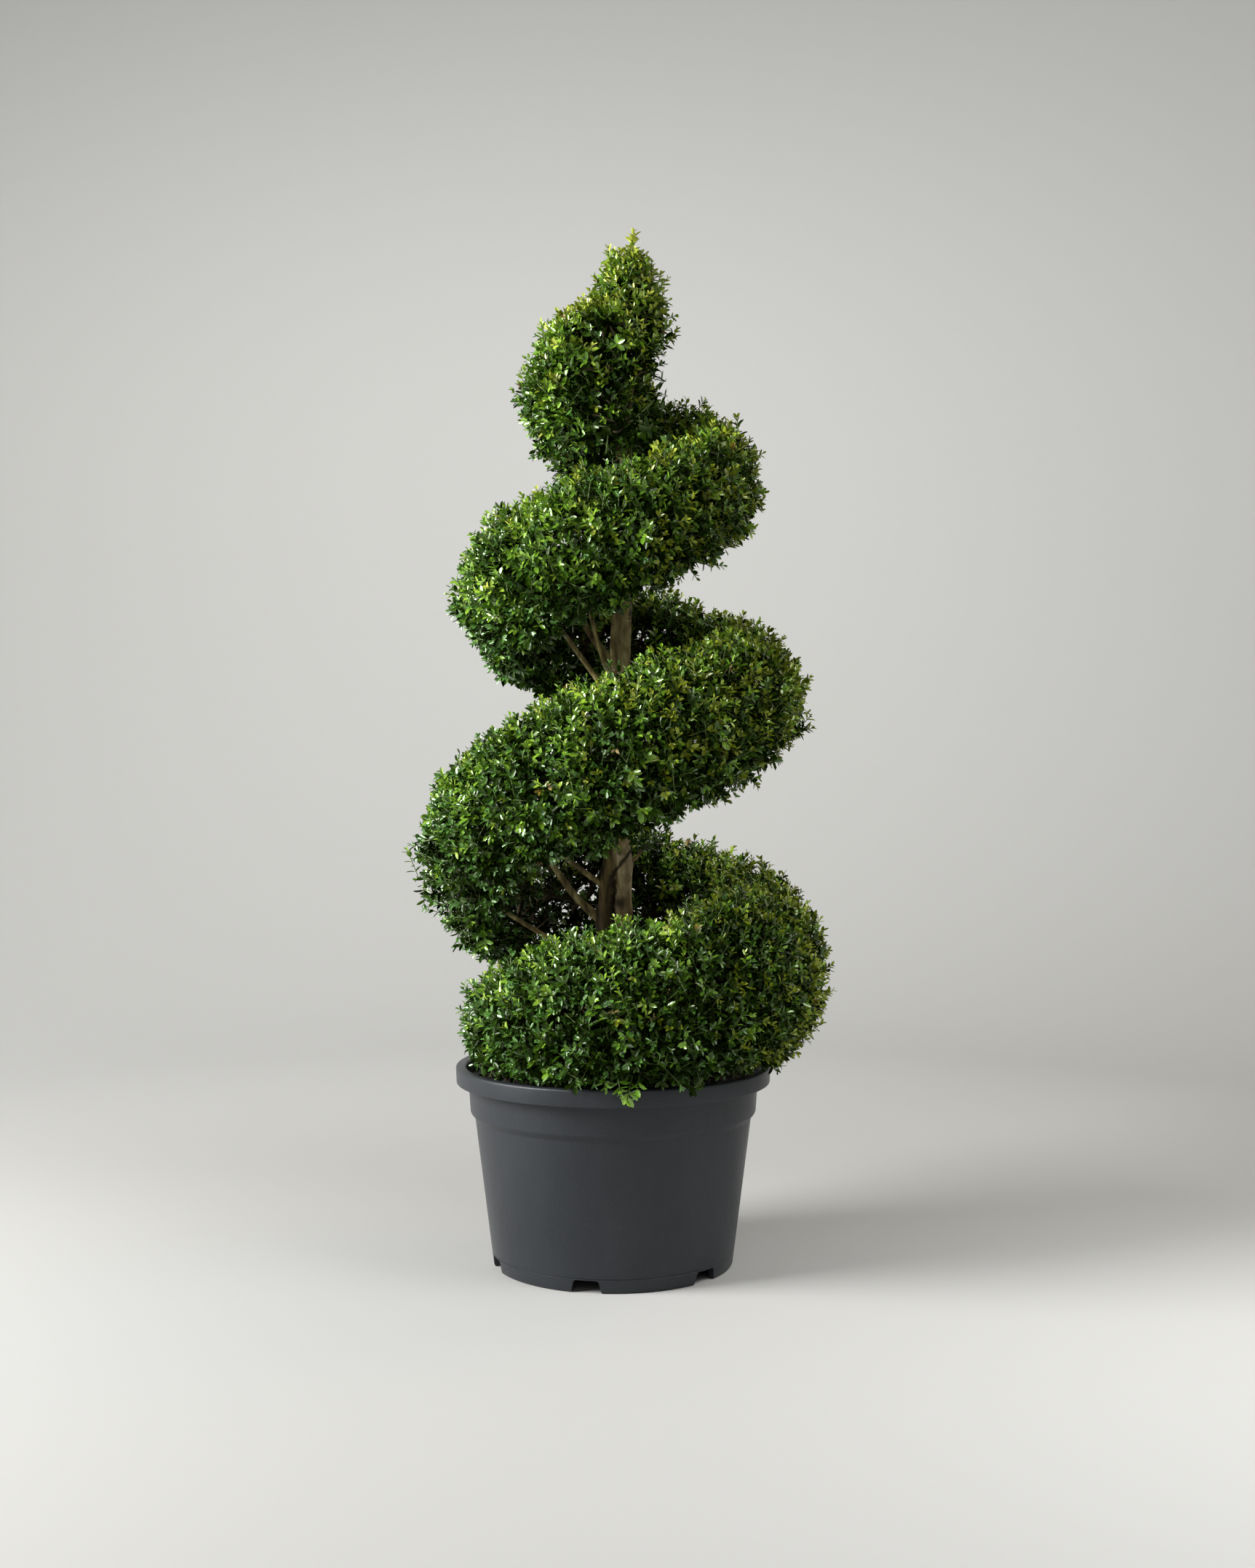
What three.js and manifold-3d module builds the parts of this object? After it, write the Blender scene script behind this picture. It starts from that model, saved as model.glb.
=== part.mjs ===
// Boxwood clipped as a rising spiral, standing in a round nursery pot.
// Millimetres, +Z up, the front is -Y. The origin is the middle of the pot's underside.
import * as THREE from "three";
import { mergeVertices } from "three/addons/utils/BufferGeometryUtils.js";
import Module from "manifold-3d";

const wasm = await Module();
wasm.setup();

const TAU = 2 * Math.PI;
const CLEAR = 0.3; // gap between pieces that touch

const POT = {
  height: 285,
  rimRadius: 225,
  rimDepth: 24,
  rimWidth: 15,
  rimEdge: 3.5, // rounding of the rim's edges
  bandTop: 207, // outer radius of the band under the rim
  bandBottom: 204,
  bandLow: 219, // height where the band ends
  stepLow: 211, // height where the step below the band ends
  wallTop: 197.5,
  wallBottom: 171,
  wallThick: 3.5,
  footWidth: 8,
  padRadius: 62, // flat pad in the middle of the underside
  floorUnder: 21, // height of the drain channel's ceiling
  floorThick: 4,
  draft: 3, // slope of the drain channel's sides
  sides: 44,
};
// Drainage notches through the foot, the first a little left of the front.
const NOTCH = { count: 6, width: 42, topWidth: 35, height: 18, bearing: -102, reach: 22, past: 4 };

const SOIL_TOP = 262;

const TRUNK = {
  foot: SOIL_TOP + CLEAR,
  tip: 1402,
  tipRadius: 4.5,
  heights: [262, 550, 605, 700, 900, 1402],
  radii: [15.5, 12.6, 11.2, 12.5, 13, 4.5], // of the main stem at these heights
  aside: 9, // how far the main stem's foot stands to the right
  asideFades: [600, 680],
  flare: 15, // how much wider the foot is
  flareHeight: 20,
  steps: 26,
  sides: 12,
  sunk: 4, // how far both stems run on below the cut at the soil
  bends: 14,
};
// A second stem grown together with the left of the trunk.
const SIDE_STEM = {
  radius: 11.5,
  tipRadius: 7.5,
  top: 660,
  bearing: 200,
  away: [19, 17.5, 15.5, 4], // from the trunk's middle, at even heights
  steps: 7,
  sides: 8,
};
const BORE = 2; // room left round the trunk where it runs through foliage
const LEAN = { start: 262, end: 1478, away: 29, bend: 1.3 };

// The clipped spiral at each half turn: left, right, left ... from half a turn before its start
// at the left. It climbs towards the right across the front.
const SPIRAL = {
  firstTurn: -0.5,
  reach: [160, 219, 308, 289, 268, 244, 197, 157, 34, 79],
  centre: [300, 338, 417, 576, 803, 950, 1111, 1250, 1278, 1342],
  half: [44, 74, 136, 140, 111, 112, 99, 113, 106, 66],
  inner: [100, 98, 96, 92, 84, 68, 46, 20, 6, 4],
  keels: [0.75, 1.6], // how pointed the underside is: squarer over the pot, keeled above it
  keelFrom: [0.3, 0.8],
  peak: 1.4, // how pointed the topside is towards the head
  peakFrom: [2.6, 3],
  skirt: 26, // how much lower the lowest turn hangs over the pot's front
  skirtFades: [0.28, 0.5],
  tuck: 34, // how much higher the underside is cut between the left and the front
  tuckFrom: [0.6, 0.95],
  tuckFades: [1.5, 2.2],
  frontLift: 30, // the front rides higher on the lower turns
  liftFades: [1.25, 2.25],
  floor: 276,
};
const HEAD = {
  bottom: 1248,
  widest: 1362,
  top: 1456,
  radius: 58,
  pointed: 1.12, // over 1, the cone narrows faster than a dome above its widest height
  coreInset: 14,
  sides: 12,
  rows: 8,
  sprays: 9,
  slopes: [-0.5, 1.3], // lowest and highest spray, as angles up the cone
  rootAway: 20,
  rootRise: 0.6, // how far up the cone the highest spray's root lies
  trunkRoom: 12, // no leaf comes nearer than this to the trunk
};
const LEADER = { below: 8, radius: 2, leaves: 4, spread: 0.24, leafSize: 0.8 };
const GOLDEN = 0.618 * TAU; // turning by this never repeats a bearing

const FOLIAGE = {
  firstTurn: -0.375,
  perMass: 0.25, // turn taken by one mass
  lastTurn: 3.125,
  endTurn: 4.04, // the head's part of the spiral ends at the left again
  gap: 0.003, // turn left free between masses
  coreInset: 18, // how far the core lies inside the clipped face
  coreRoom: 0.55, // but never more than this share of a narrow section
  coreSteps: 4,
  coreSides: 12,
  lump: 5,
  proud: 14, // how far a leaf may stand out of the clipped face
  sprays: 5,
  ends: 0.12, // share of a mass at each end that no spray stands in
  fan: 0.75, // sprays fan over this share of the section, open towards the trunk
};
const SPRAY = {
  inset: 9, // where a twig ends below the clipped face
  baseRadius: 4,
  tipRadius: 3,
  jitter: 5,
  tries: 8,
  pairs: [
    { back: 5, rise: 0.3, size: 1 },
    { back: 2, rise: 1.4, size: 0.7 },
  ],
};
const LEAF = { length: 40, width: 18, thick: 2.4, sunk: 0.8 };

const BOUGH = {
  baseRadius: 8.5,
  tipRadius: 4.2,
  topShare: 0.7, // thickness of the highest boughs, as a share of the lowest
  rise: 104, // how far a bough climbs from the trunk to its mass
  lowest: 296,
  sunk: 4, // where its line starts inside the trunk, from the trunk's middle
  past: 12, // how far its tip lies inside the mass's inner face
  above: 4, // how far its tip lies above the mass's middle
  sag: 0.06,
  room: 26, // no leaf comes nearer than this to its tip
  steps: 4,
  sides: 6,
};
const STEM = { straight: 8, endRadius: 3, steps: 3, sides: 5 }; // a mass's own stem

const bark = new THREE.MeshStandardMaterial({ color: 0x8a7256, roughness: 0.9, metalness: 0 });
const leafGreen = new THREE.MeshStandardMaterial({ color: 0x35602a, roughness: 0.45, metalness: 0 });
const potPlastic = new THREE.MeshStandardMaterial({ color: 0x3c3f45, roughness: 0.6, metalness: 0 });
const pottingSoil = new THREE.MeshStandardMaterial({ color: 0x2b211a, roughness: 1, metalness: 0 });

// Seeded random numbers from 0 to 1.
function seeded(seed) {
  let state = seed;
  return () => {
    state = (state + 0x6d2b79f5) | 0;
    let mixed = Math.imul(state ^ (state >>> 15), 1 | state);
    mixed = (mixed + Math.imul(mixed ^ (mixed >>> 7), 61 | mixed)) ^ mixed;
    return ((mixed ^ (mixed >>> 14)) >>> 0) / 4294967296;
  };
}

function solidOf(geometry) {
  const bare = geometry.index ? geometry.toNonIndexed() : geometry.clone();
  bare.deleteAttribute("normal");
  bare.deleteAttribute("uv");
  const merged = mergeVertices(bare, 1e-3);
  return new wasm.Manifold(
    new wasm.Mesh({
      numProp: 3,
      vertProperties: new Float32Array(merged.attributes.position.array),
      triVerts: new Uint32Array(merged.index.array),
    }),
  );
}

// The largest body of a joined solid: loose scraps are dropped and sealed hollows filled.
function mainBody(joined) {
  const bodies = joined.decompose();
  return bodies.reduce((best, body) => (body.volume() > best.volume() ? body : best));
}

function meshOf(solid, material, name) {
  const made = solid.getMesh();
  const geometry = new THREE.BufferGeometry();
  geometry.setAttribute("position", new THREE.BufferAttribute(made.vertProperties, 3));
  geometry.setIndex(new THREE.BufferAttribute(made.triVerts, 1));
  geometry.computeVertexNormals();
  const mesh = new THREE.Mesh(geometry, material);
  mesh.name = name;
  return mesh;
}

// A solid from rings of points that follow each other, closed by a triangle or fan at each end.
function skinned(rings) {
  const sides = rings[0].length;
  const points = rings.flat();
  const faces = [];
  for (let row = 0; row + 1 < rings.length; row++) {
    for (let k = 0; k < sides; k++) {
      const a = row * sides + k;
      const b = row * sides + ((k + 1) % sides);
      faces.push(a, b, b + sides, a, b + sides, a + sides);
    }
  }
  for (const [row, turned] of [[0, true], [rings.length - 1, false]]) {
    if (sides === 3) {
      const a = row * sides;
      faces.push(a, turned ? a + 2 : a + 1, turned ? a + 1 : a + 2);
      continue;
    }
    const middle = new THREE.Vector3();
    rings[row].forEach((point) => middle.addScaledVector(point, 1 / sides));
    points.push(middle);
    for (let k = 0; k < sides; k++) {
      const a = row * sides + k;
      const b = row * sides + ((k + 1) % sides);
      faces.push(points.length - 1, turned ? b : a, turned ? a : b);
    }
  }
  const geometry = new THREE.BufferGeometry().setFromPoints(points);
  geometry.setIndex(faces);
  return solidOf(geometry);
}

// A tapering limb along a curve.
function limb(curve, radiusAt, steps, sides) {
  const frames = curve.computeFrenetFrames(steps, false);
  const rings = [];
  for (let row = 0; row <= steps; row++) {
    const middle = curve.getPointAt(row / steps);
    const ring = [];
    for (let k = 0; k < sides; k++) {
      const angle = (k / sides) * TAU;
      const radius = radiusAt(row / steps);
      const point = middle.clone();
      point.addScaledVector(frames.normals[row], radius * Math.cos(angle));
      point.addScaledVector(frames.binormals[row], radius * Math.sin(angle));
      ring.push(point);
    }
    rings.push(ring);
  }
  return skinned(rings);
}

const mix = THREE.MathUtils.lerp;

// The trunk leans to the right as it climbs.
function leanAt(height) {
  const share = THREE.MathUtils.clamp((height - LEAN.start) / (LEAN.end - LEAN.start), 0, 1);
  return LEAN.away * share ** LEAN.bend;
}

// A point from its distance and bearing round the leaning trunk.
function aroundTrunk(radius, bearing, height) {
  return new THREE.Vector3(
    leanAt(height) + radius * Math.cos(bearing),
    radius * Math.sin(bearing),
    height,
  );
}

function bearingOf(turn) {
  return Math.PI + TAU * turn;
}

// The value of a half-turn list at any turn, on a smooth curve through the list.
function along(list, turn) {
  const place = (turn - SPIRAL.firstTurn) * 2;
  const k = THREE.MathUtils.clamp(Math.floor(place), 0, list.length - 2);
  const before = list[Math.max(k - 1, 0)];
  const after = list[Math.min(k + 2, list.length - 1)];
  const slopeA = (list[k + 1] - before) / 2;
  const slopeB = (after - list[k]) / 2;
  const u = place - k;
  const rise = list[k + 1] - list[k];
  const bend = 3 * rise - 2 * slopeA - slopeB;
  const twist = slopeA + slopeB - 2 * rise;
  return list[k] + u * slopeA + u * u * bend + u * u * u * twist;
}

// The share from 0 to 1 by which a turn or height has passed through a stretch.
function risen(value, stretch) {
  return THREE.MathUtils.smoothstep(value, stretch[0], stretch[1]);
}

// The clipped section at a turn: its middle radius and height, and its half width and half height.
function sectionAt(turn) {
  const front = Math.max(0, Math.sin(TAU * turn));
  const leftFront = front > 0 ? Math.max(0, Math.sin(2 * TAU * turn)) : 0;
  const lift = SPIRAL.frontLift * (1 - risen(turn, SPIRAL.liftFades)) * front;
  const tucked = risen(turn, SPIRAL.tuckFrom) * (1 - risen(turn, SPIRAL.tuckFades)) * leftFront;
  const hung = (1 - risen(turn, SPIRAL.skirtFades)) * front;
  const centre = along(SPIRAL.centre, turn) + lift;
  const top = centre + along(SPIRAL.half, turn);
  const cut = centre - along(SPIRAL.half, turn) + SPIRAL.tuck * tucked - SPIRAL.skirt * hung;
  const bottom = Math.max(cut, SPIRAL.floor);
  const reach = along(SPIRAL.reach, turn);
  const inner = along(SPIRAL.inner, turn);
  return {
    radius: (reach + inner) / 2,
    width: (reach - inner) / 2,
    height: (top + bottom) / 2,
    half: (top - bottom) / 2,
  };
}

// How fast a section narrows above or below its middle height: as an ellipse at 1, more pointed
// over it.
function narrowingAt(turn, up) {
  if (up < 0) return mix(...SPIRAL.keels, risen(turn, SPIRAL.keelFrom));
  return mix(1, SPIRAL.peak, risen(turn, SPIRAL.peakFrom));
}

function onSpiral(turn, angle, inset) {
  const s = sectionAt(turn);
  const cosine = Math.cos(angle);
  const across = Math.sign(cosine) * Math.abs(cosine) ** narrowingAt(turn, Math.sin(angle));
  const radius = s.radius + (s.width - inset) * across;
  const height = s.height + (s.half - inset) * Math.sin(angle);
  return aroundTrunk(radius, bearingOf(turn), height);
}

function onHead(bearing, slope, inset) {
  const tall = slope < 0 ? HEAD.widest - HEAD.bottom : HEAD.top - HEAD.widest;
  const height = HEAD.widest + (tall - inset) * Math.sin(slope);
  const narrowing = slope < 0 ? 1 : HEAD.pointed;
  const radius = (HEAD.radius - inset) * Math.cos(slope) ** narrowing;
  return aroundTrunk(radius, bearing, height);
}

// The inner face of the pot from its floor up to the rim, set in from the outside by an amount.
function potInside(inset, floor) {
  const p = POT;
  const share = floor / p.stepLow;
  return [
    [0, floor],
    [mix(p.wallBottom, p.wallTop, share) - inset, floor],
    [p.wallTop - inset, p.stepLow],
    [p.bandBottom - inset, p.bandLow],
    [p.bandTop - inset, p.height - p.rimDepth],
  ];
}

function makePot() {
  const p = POT;
  const low = p.height - p.rimDepth;
  const inner = p.rimRadius - p.rimWidth;
  const outline = [
    [0, 0],
    [p.padRadius, 0],
    [p.padRadius + p.draft, p.floorUnder],
    [p.wallBottom - p.footWidth - p.draft, p.floorUnder],
    [p.wallBottom - p.footWidth, 0],
    [p.wallBottom - p.rimEdge, 0],
    [p.wallBottom, p.rimEdge],
    [p.wallTop, p.stepLow],
    [p.bandBottom, p.bandLow],
    [p.bandTop, low],
    [p.rimRadius - p.rimEdge, low],
    [p.rimRadius, low + p.rimEdge],
    [p.rimRadius, p.height - p.rimEdge],
    [p.rimRadius - p.rimEdge, p.height],
    [inner + p.rimEdge, p.height],
    [inner, p.height - p.rimEdge],
    ...potInside(p.wallThick, p.floorUnder + p.floorThick).reverse(),
  ];
  const profile = outline.map(([r, z]) => new THREE.Vector2(r, z));
  const turned = new THREE.LatheGeometry(profile, p.sides).rotateX(Math.PI / 2);
  let pot = solidOf(turned);
  const shape = new THREE.Shape();
  shape.moveTo(-NOTCH.width / 2, -NOTCH.past);
  shape.lineTo(NOTCH.width / 2, -NOTCH.past);
  shape.lineTo(NOTCH.topWidth / 2, NOTCH.height);
  shape.lineTo(-NOTCH.topWidth / 2, NOTCH.height);
  for (let k = 0; k < NOTCH.count; k++) {
    const cutter = new THREE.ExtrudeGeometry(shape, { depth: NOTCH.reach, bevelEnabled: false });
    cutter.rotateX(Math.PI / 2).rotateZ(Math.PI);
    cutter.translate(0, p.wallBottom - NOTCH.reach + NOTCH.past, 0);
    cutter.rotateZ(THREE.MathUtils.degToRad(NOTCH.bearing + (360 / NOTCH.count) * k - 90));
    pot = pot.subtract(solidOf(cutter));
  }
  return pot;
}

function makeSoil() {
  const p = POT;
  const inset = p.wallThick + 1.5 * CLEAR;
  const outline = potInside(inset, p.floorUnder + p.floorThick + CLEAR);
  outline.push([p.bandTop - inset, SOIL_TOP], [0, SOIL_TOP]);
  const profile = outline.map(([r, z]) => new THREE.Vector2(r, z));
  return solidOf(new THREE.LatheGeometry(profile, p.sides).rotateX(Math.PI / 2));
}

// The main stem's radius at a height, on straight lines between the listed ones.
function stemRadiusAt(height) {
  const { heights, radii } = TRUNK;
  if (height <= heights[0]) return radii[0];
  const above = heights.findIndex((listed) => listed >= height);
  if (above < 0) return radii[radii.length - 1];
  const share = (height - heights[above - 1]) / (heights[above] - heights[above - 1]);
  return mix(radii[above - 1], radii[above], share);
}

// The trunk is two stems grown together. A margin widens it, to cut other pieces clear of it.
function makeTrunk(margin) {
  const t = TRUNK;
  const foot = t.foot - t.sunk;
  const flareAt = (height) => t.flare * Math.exp((foot - height) / t.flareHeight);
  const heights = Array.from({ length: t.bends + 1 }, (_, k) => mix(foot, t.tip, k / t.bends));
  const mainPlaces = heights.map((z) => {
    const aside = t.aside * (1 - risen(z, t.asideFades));
    return new THREE.Vector3(leanAt(z) + aside, 0, z);
  });
  const line = new THREE.CatmullRomCurve3(mainPlaces);
  const mainRadius = (u) => {
    const height = mix(foot, t.tip, u);
    return stemRadiusAt(height) + flareAt(height) + margin;
  };
  const main = limb(line, mainRadius, t.steps, t.sides);

  const s = SIDE_STEM;
  const bearing = THREE.MathUtils.degToRad(s.bearing);
  const last = s.away.length - 1;
  const sidePlaces = s.away.map((away, k) => aroundTrunk(away, bearing, mix(foot, s.top, k / last)));
  const sideRadius = (u) => mix(s.radius, s.tipRadius, u * u) + flareAt(mix(foot, s.top, u)) / 2 + margin;
  const side = limb(new THREE.CatmullRomCurve3(sidePlaces), sideRadius, s.steps, s.sides);

  const joined = main.add(side);
  if (margin === 0) return levelCut(joined);
  const end = line.getPoint(1);
  const past = end.clone().addScaledVector(line.getTangent(1), margin);
  return joined.add(straightLimb(end.clone().lerp(past, -1), past, t.tipRadius, t.tipRadius, t.sides));
}

// Both stems end in one flat cut at the soil.
function levelCut(stems) {
  const size = 2 * POT.rimRadius;
  const below = new THREE.BoxGeometry(size, size, size).translate(0, 0, TRUNK.foot - size / 2);
  return mainBody(stems.subtract(solidOf(below)));
}

const trunk = makeTrunk(0);
const trunkRoom = makeTrunk(CLEAR);
const trunkBore = makeTrunk(BORE);

// The line of a mass's bough, from inside the trunk up to the inner face of the mass.
function boughLine(turn) {
  const s = sectionAt(turn);
  const bearing = bearingOf(turn);
  const tipHeight = s.height + BOUGH.above;
  const footHeight = Math.max(tipHeight - BOUGH.rise, BOUGH.lowest);
  const foot = aroundTrunk(BOUGH.sunk, bearing, footHeight);
  const tip = aroundTrunk(s.radius - s.width + BOUGH.past, bearing, tipHeight);
  const middle = foot.clone().lerp(tip, 0.5);
  middle.z -= BOUGH.sag * foot.distanceTo(tip);
  return new THREE.CatmullRomCurve3([foot, middle, tip]);
}

function makeBough(line, share) {
  const radiusAt = (u) => share * mix(BOUGH.baseRadius, BOUGH.tipRadius, Math.sqrt(u));
  return mainBody(limb(line, radiusAt, BOUGH.steps, BOUGH.sides).subtract(trunkRoom));
}

// A mass's stem carries its bough's line on to the middle of the mass.
function makeStem(line, heart, radius) {
  const heading = line.getTangent(1);
  const from = line.getPoint(1).addScaledVector(heading, CLEAR);
  const bend = from.clone().addScaledVector(heading, STEM.straight);
  const curve = new THREE.CatmullRomCurve3([from, bend, heart]);
  return limb(curve, (u) => mix(radius, STEM.endRadius, u), STEM.steps, STEM.sides);
}

function straightLimb(from, to, radiusA, radiusB, sides) {
  return limb(new THREE.LineCurve3(from, to), (u) => mix(radiusA, radiusB, u), 1, sides);
}

// A leaf is a long flat octahedron whose root lies at the origin, pointing along heading.
function makeLeaf(root, heading, facing, size) {
  const side = new THREE.Vector3().crossVectors(facing, heading).normalize();
  const up = new THREE.Vector3().crossVectors(heading, side).normalize();
  const geometry = new THREE.OctahedronGeometry(1);
  geometry.scale((size * LEAF.length) / 2, (size * LEAF.width) / 2, LEAF.thick / 2);
  geometry.translate((size * LEAF.length) / 2 - LEAF.sunk, 0, 0);
  const frame = new THREE.Matrix4().makeBasis(heading, side, up).setPosition(root);
  return geometry.applyMatrix4(frame);
}

function cornersOf(geometry) {
  const place = geometry.attributes.position;
  return Array.from({ length: place.count }, (_, k) => new THREE.Vector3().fromBufferAttribute(place, k));
}

// One twig from inside the mass out through its clipped face, with opposite pairs of leaves.
function makeSpray(root, skin, holds, random) {
  const end = skin.clone();
  for (let k = 0; k < SPRAY.tries; k++) {
    end.copy(skin);
    end.x += SPRAY.jitter * (2 * random() - 1);
    end.y += SPRAY.jitter * (2 * random() - 1);
    end.z += SPRAY.jitter * (2 * random() - 0.6);
    if (holds(end)) break;
  }
  if (!holds(end)) return [];
  const heading = end.clone().sub(root).normalize();
  const twig = straightLimb(root, end, SPRAY.baseRadius, SPRAY.tipRadius, 3);
  let best = [];
  for (let k = 0; k < SPRAY.tries; k++) {
    const leaves = pairsOfLeaves(end, heading, random() * TAU);
    const kept = leaves.filter((leaf) => cornersOf(leaf).every(holds));
    if (kept.length > best.length) best = kept;
  }
  return [twig, ...best.map(solidOf)];
}

// Opposite pairs of leaves near a twig's end, each pair crossing the one below it.
function pairsOfLeaves(end, heading, first) {
  const across = new THREE.Vector3(-heading.y, heading.x, 0.01).cross(heading).normalize();
  const leaves = [];
  SPRAY.pairs.forEach((pair, k) => {
    const place = end.clone().addScaledVector(heading, -pair.back);
    for (const half of [0, Math.PI]) {
      const side = across.clone().applyAxisAngle(heading, first + half + (k * Math.PI) / 2);
      const aim = side.addScaledVector(heading, pair.rise).normalize();
      leaves.push(makeLeaf(place, aim, heading, pair.size));
    }
  });
  return leaves;
}

// A smooth lumpiness for the cores.
function lumpAt(point) {
  const a = Math.sin(point.x / 21 + 1.3) * Math.sin(point.z / 26 + 0.4);
  const b = Math.sin(point.y / 23 + 2.1) * Math.cos(point.z / 17);
  return FOLIAGE.lump * (0.6 * a + 0.4 * b);
}

function spiralCore(from, to, steps, inset) {
  const f = FOLIAGE;
  const rings = [];
  for (let row = 0; row <= steps; row++) {
    const turn = mix(from, to, row / steps);
    const s = sectionAt(turn);
    const most = f.coreRoom * Math.min(s.width, s.half);
    const ring = [];
    for (let k = 0; k < f.coreSides; k++) {
      const angle = -(k / f.coreSides) * TAU;
      const lump = lumpAt(onSpiral(turn, angle, Math.min(inset, most)));
      ring.push(onSpiral(turn, angle, Math.min(inset + lump, most)));
    }
    rings.push(ring);
  }
  return skinned(rings);
}

// Whether a point keeps to a stretch of the spiral.
function spiralHolds(point, from, to) {
  const x = point.x - leanAt(point.z);
  const radius = Math.hypot(x, point.y);
  const middle = (from + to) / 2;
  const bearing = Math.atan2(point.y, x) - bearingOf(middle);
  const turn = middle + (bearing / TAU - Math.round(bearing / TAU));
  if (turn < from || turn > to) return false;
  const s = sectionAt(turn);
  const up = (point.z - s.height) / (s.half + FOLIAGE.proud);
  const out = Math.abs(radius - s.radius) / (s.width + FOLIAGE.proud);
  const across = out ** (1 / narrowingAt(turn, up));
  return Math.hypot(across, up) <= 1 && point.z > POT.height + CLEAR && radius > s.radius - s.width;
}

function headHolds(point) {
  const h = HEAD;
  const tall = (point.z < h.widest ? h.widest - h.bottom : h.top - h.widest) + FOLIAGE.proud;
  const sine = (point.z - h.widest) / tall;
  if (Math.abs(sine) > 1) return false;
  const room = (h.radius + FOLIAGE.proud) * Math.sqrt(1 - sine * sine);
  const radius = Math.hypot(point.x - leanAt(point.z), point.y);
  const nearTrunk = radius < HEAD.trunkRoom && point.z < TRUNK.tip + BORE;
  return radius <= room && !nearTrunk;
}

function growOnSpiral(from, to, count, holds, random) {
  const pieces = [];
  for (let k = 0; k < count; k++) {
    const place = (0.5 + (k * GOLDEN) / TAU) % 1;
    const turn = mix(from, to, mix(FOLIAGE.ends, 1 - FOLIAGE.ends, place));
    const angle = FOLIAGE.fan * Math.PI * ((2 * k + 1) / count - 1);
    const s = sectionAt(turn);
    const root = aroundTrunk(s.radius, bearingOf(turn), s.height);
    pieces.push(...makeSpray(root, onSpiral(turn, angle, SPRAY.inset), holds, random));
  }
  return pieces;
}

const group = new THREE.Group();
group.add(meshOf(makePot(), potPlastic, "pot"));
group.add(meshOf(makeSoil(), pottingSoil, "soil"));
group.add(meshOf(trunk, bark, "trunk"));

const sideNames = ["left", "front", "right", "back"];

function labelOf(turn) {
  const quarter = Math.round(turn * 4);
  return Math.floor(quarter / 4) + 1 + "_" + sideNames[(quarter + 4) % 4];
}

// One mass of the spiral, with the bough that carries it.
function addMass(middle, random) {
  const f = FOLIAGE;
  const from = middle - f.perMass / 2 + f.gap / 2;
  const to = middle + f.perMass / 2 - f.gap / 2;
  const s = sectionAt(middle);
  const heart = aroundTrunk(s.radius, bearingOf(middle), s.height);
  const line = boughLine(middle);
  const tip = line.getPoint(1);
  const share = mix(1, BOUGH.topShare, THREE.MathUtils.clamp(middle / f.lastTurn, 0, 1));
  group.add(meshOf(makeBough(line, share), bark, "bough_" + labelOf(middle)));

  const besideHead = middle > f.lastTurn - f.perMass;
  const keeps = (point) => spiralHolds(point, from, to) && point.distanceTo(tip) > BOUGH.room;
  const inHead = (point) => headHolds(point) || spiralHolds(point, f.lastTurn, f.endTurn);
  const holds = (point) => keeps(point) && !(besideHead && inHead(point));
  const stem = makeStem(line, heart, share * BOUGH.tipRadius);
  const sprays = growOnSpiral(from, to, f.sprays, holds, random);
  const core = spiralCore(from, to, f.coreSteps, f.coreInset);
  const room = besideHead ? core.subtract(headCore(f.coreInset - f.lump)) : core;
  const mass = mainBody(wasm.Manifold.union([room, stem, ...sprays]));
  group.add(meshOf(mass, leafGreen, "foliage_" + labelOf(middle)));
}

function headCore(inset) {
  const ball = new THREE.SphereGeometry(1, HEAD.sides, HEAD.rows).rotateX(Math.PI / 2);
  const place = ball.attributes.position;
  for (let k = 0; k < place.count; k++) {
    const point = new THREE.Vector3().fromBufferAttribute(place, k);
    const slope = Math.asin(THREE.MathUtils.clamp(point.z, -1, 1));
    const bearing = Math.atan2(point.y, point.x);
    const moved = onHead(bearing, slope, inset);
    place.setXYZ(k, moved.x, moved.y, moved.z);
  }
  return solidOf(ball);
}

// The head: the last rise of the spiral, the cone round the trunk's tip and the leader above it.
function addHead(random) {
  const f = FOLIAGE;
  const from = f.lastTurn + f.gap / 2;
  const to = f.endTurn;
  const below = (point) => spiralHolds(point, f.lastTurn - f.perMass, from);
  const holds = (point) => (spiralHolds(point, from, to) || headHolds(point)) && !below(point);
  const under = spiralCore(f.lastTurn - f.perMass, f.lastTurn, f.coreSteps, f.coreInset - 1);
  const rise = spiralCore(from, to, 2 * f.coreSteps, f.coreInset).subtract(under);
  const cone = headCore(HEAD.coreInset);
  const pieces = growOnSpiral(from, to, 2 * f.sprays, holds, random);
  for (let k = 0; k < HEAD.sprays; k++) {
    const share = (k + 0.5) / HEAD.sprays;
    const bearing = k * GOLDEN;
    const skin = onHead(bearing, mix(HEAD.slopes[0], HEAD.slopes[1], share), SPRAY.inset);
    const root = aroundTrunk(HEAD.rootAway, bearing, mix(HEAD.widest, HEAD.top, HEAD.rootRise * share));
    pieces.push(...makeSpray(root, skin, holds, random));
  }
  const leader = makeLeader();
  const joined = wasm.Manifold.union([rise, cone, ...leader, ...pieces]).subtract(trunkBore);
  group.add(meshOf(mainBody(joined), leafGreen, "foliage_head"));
}

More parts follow.
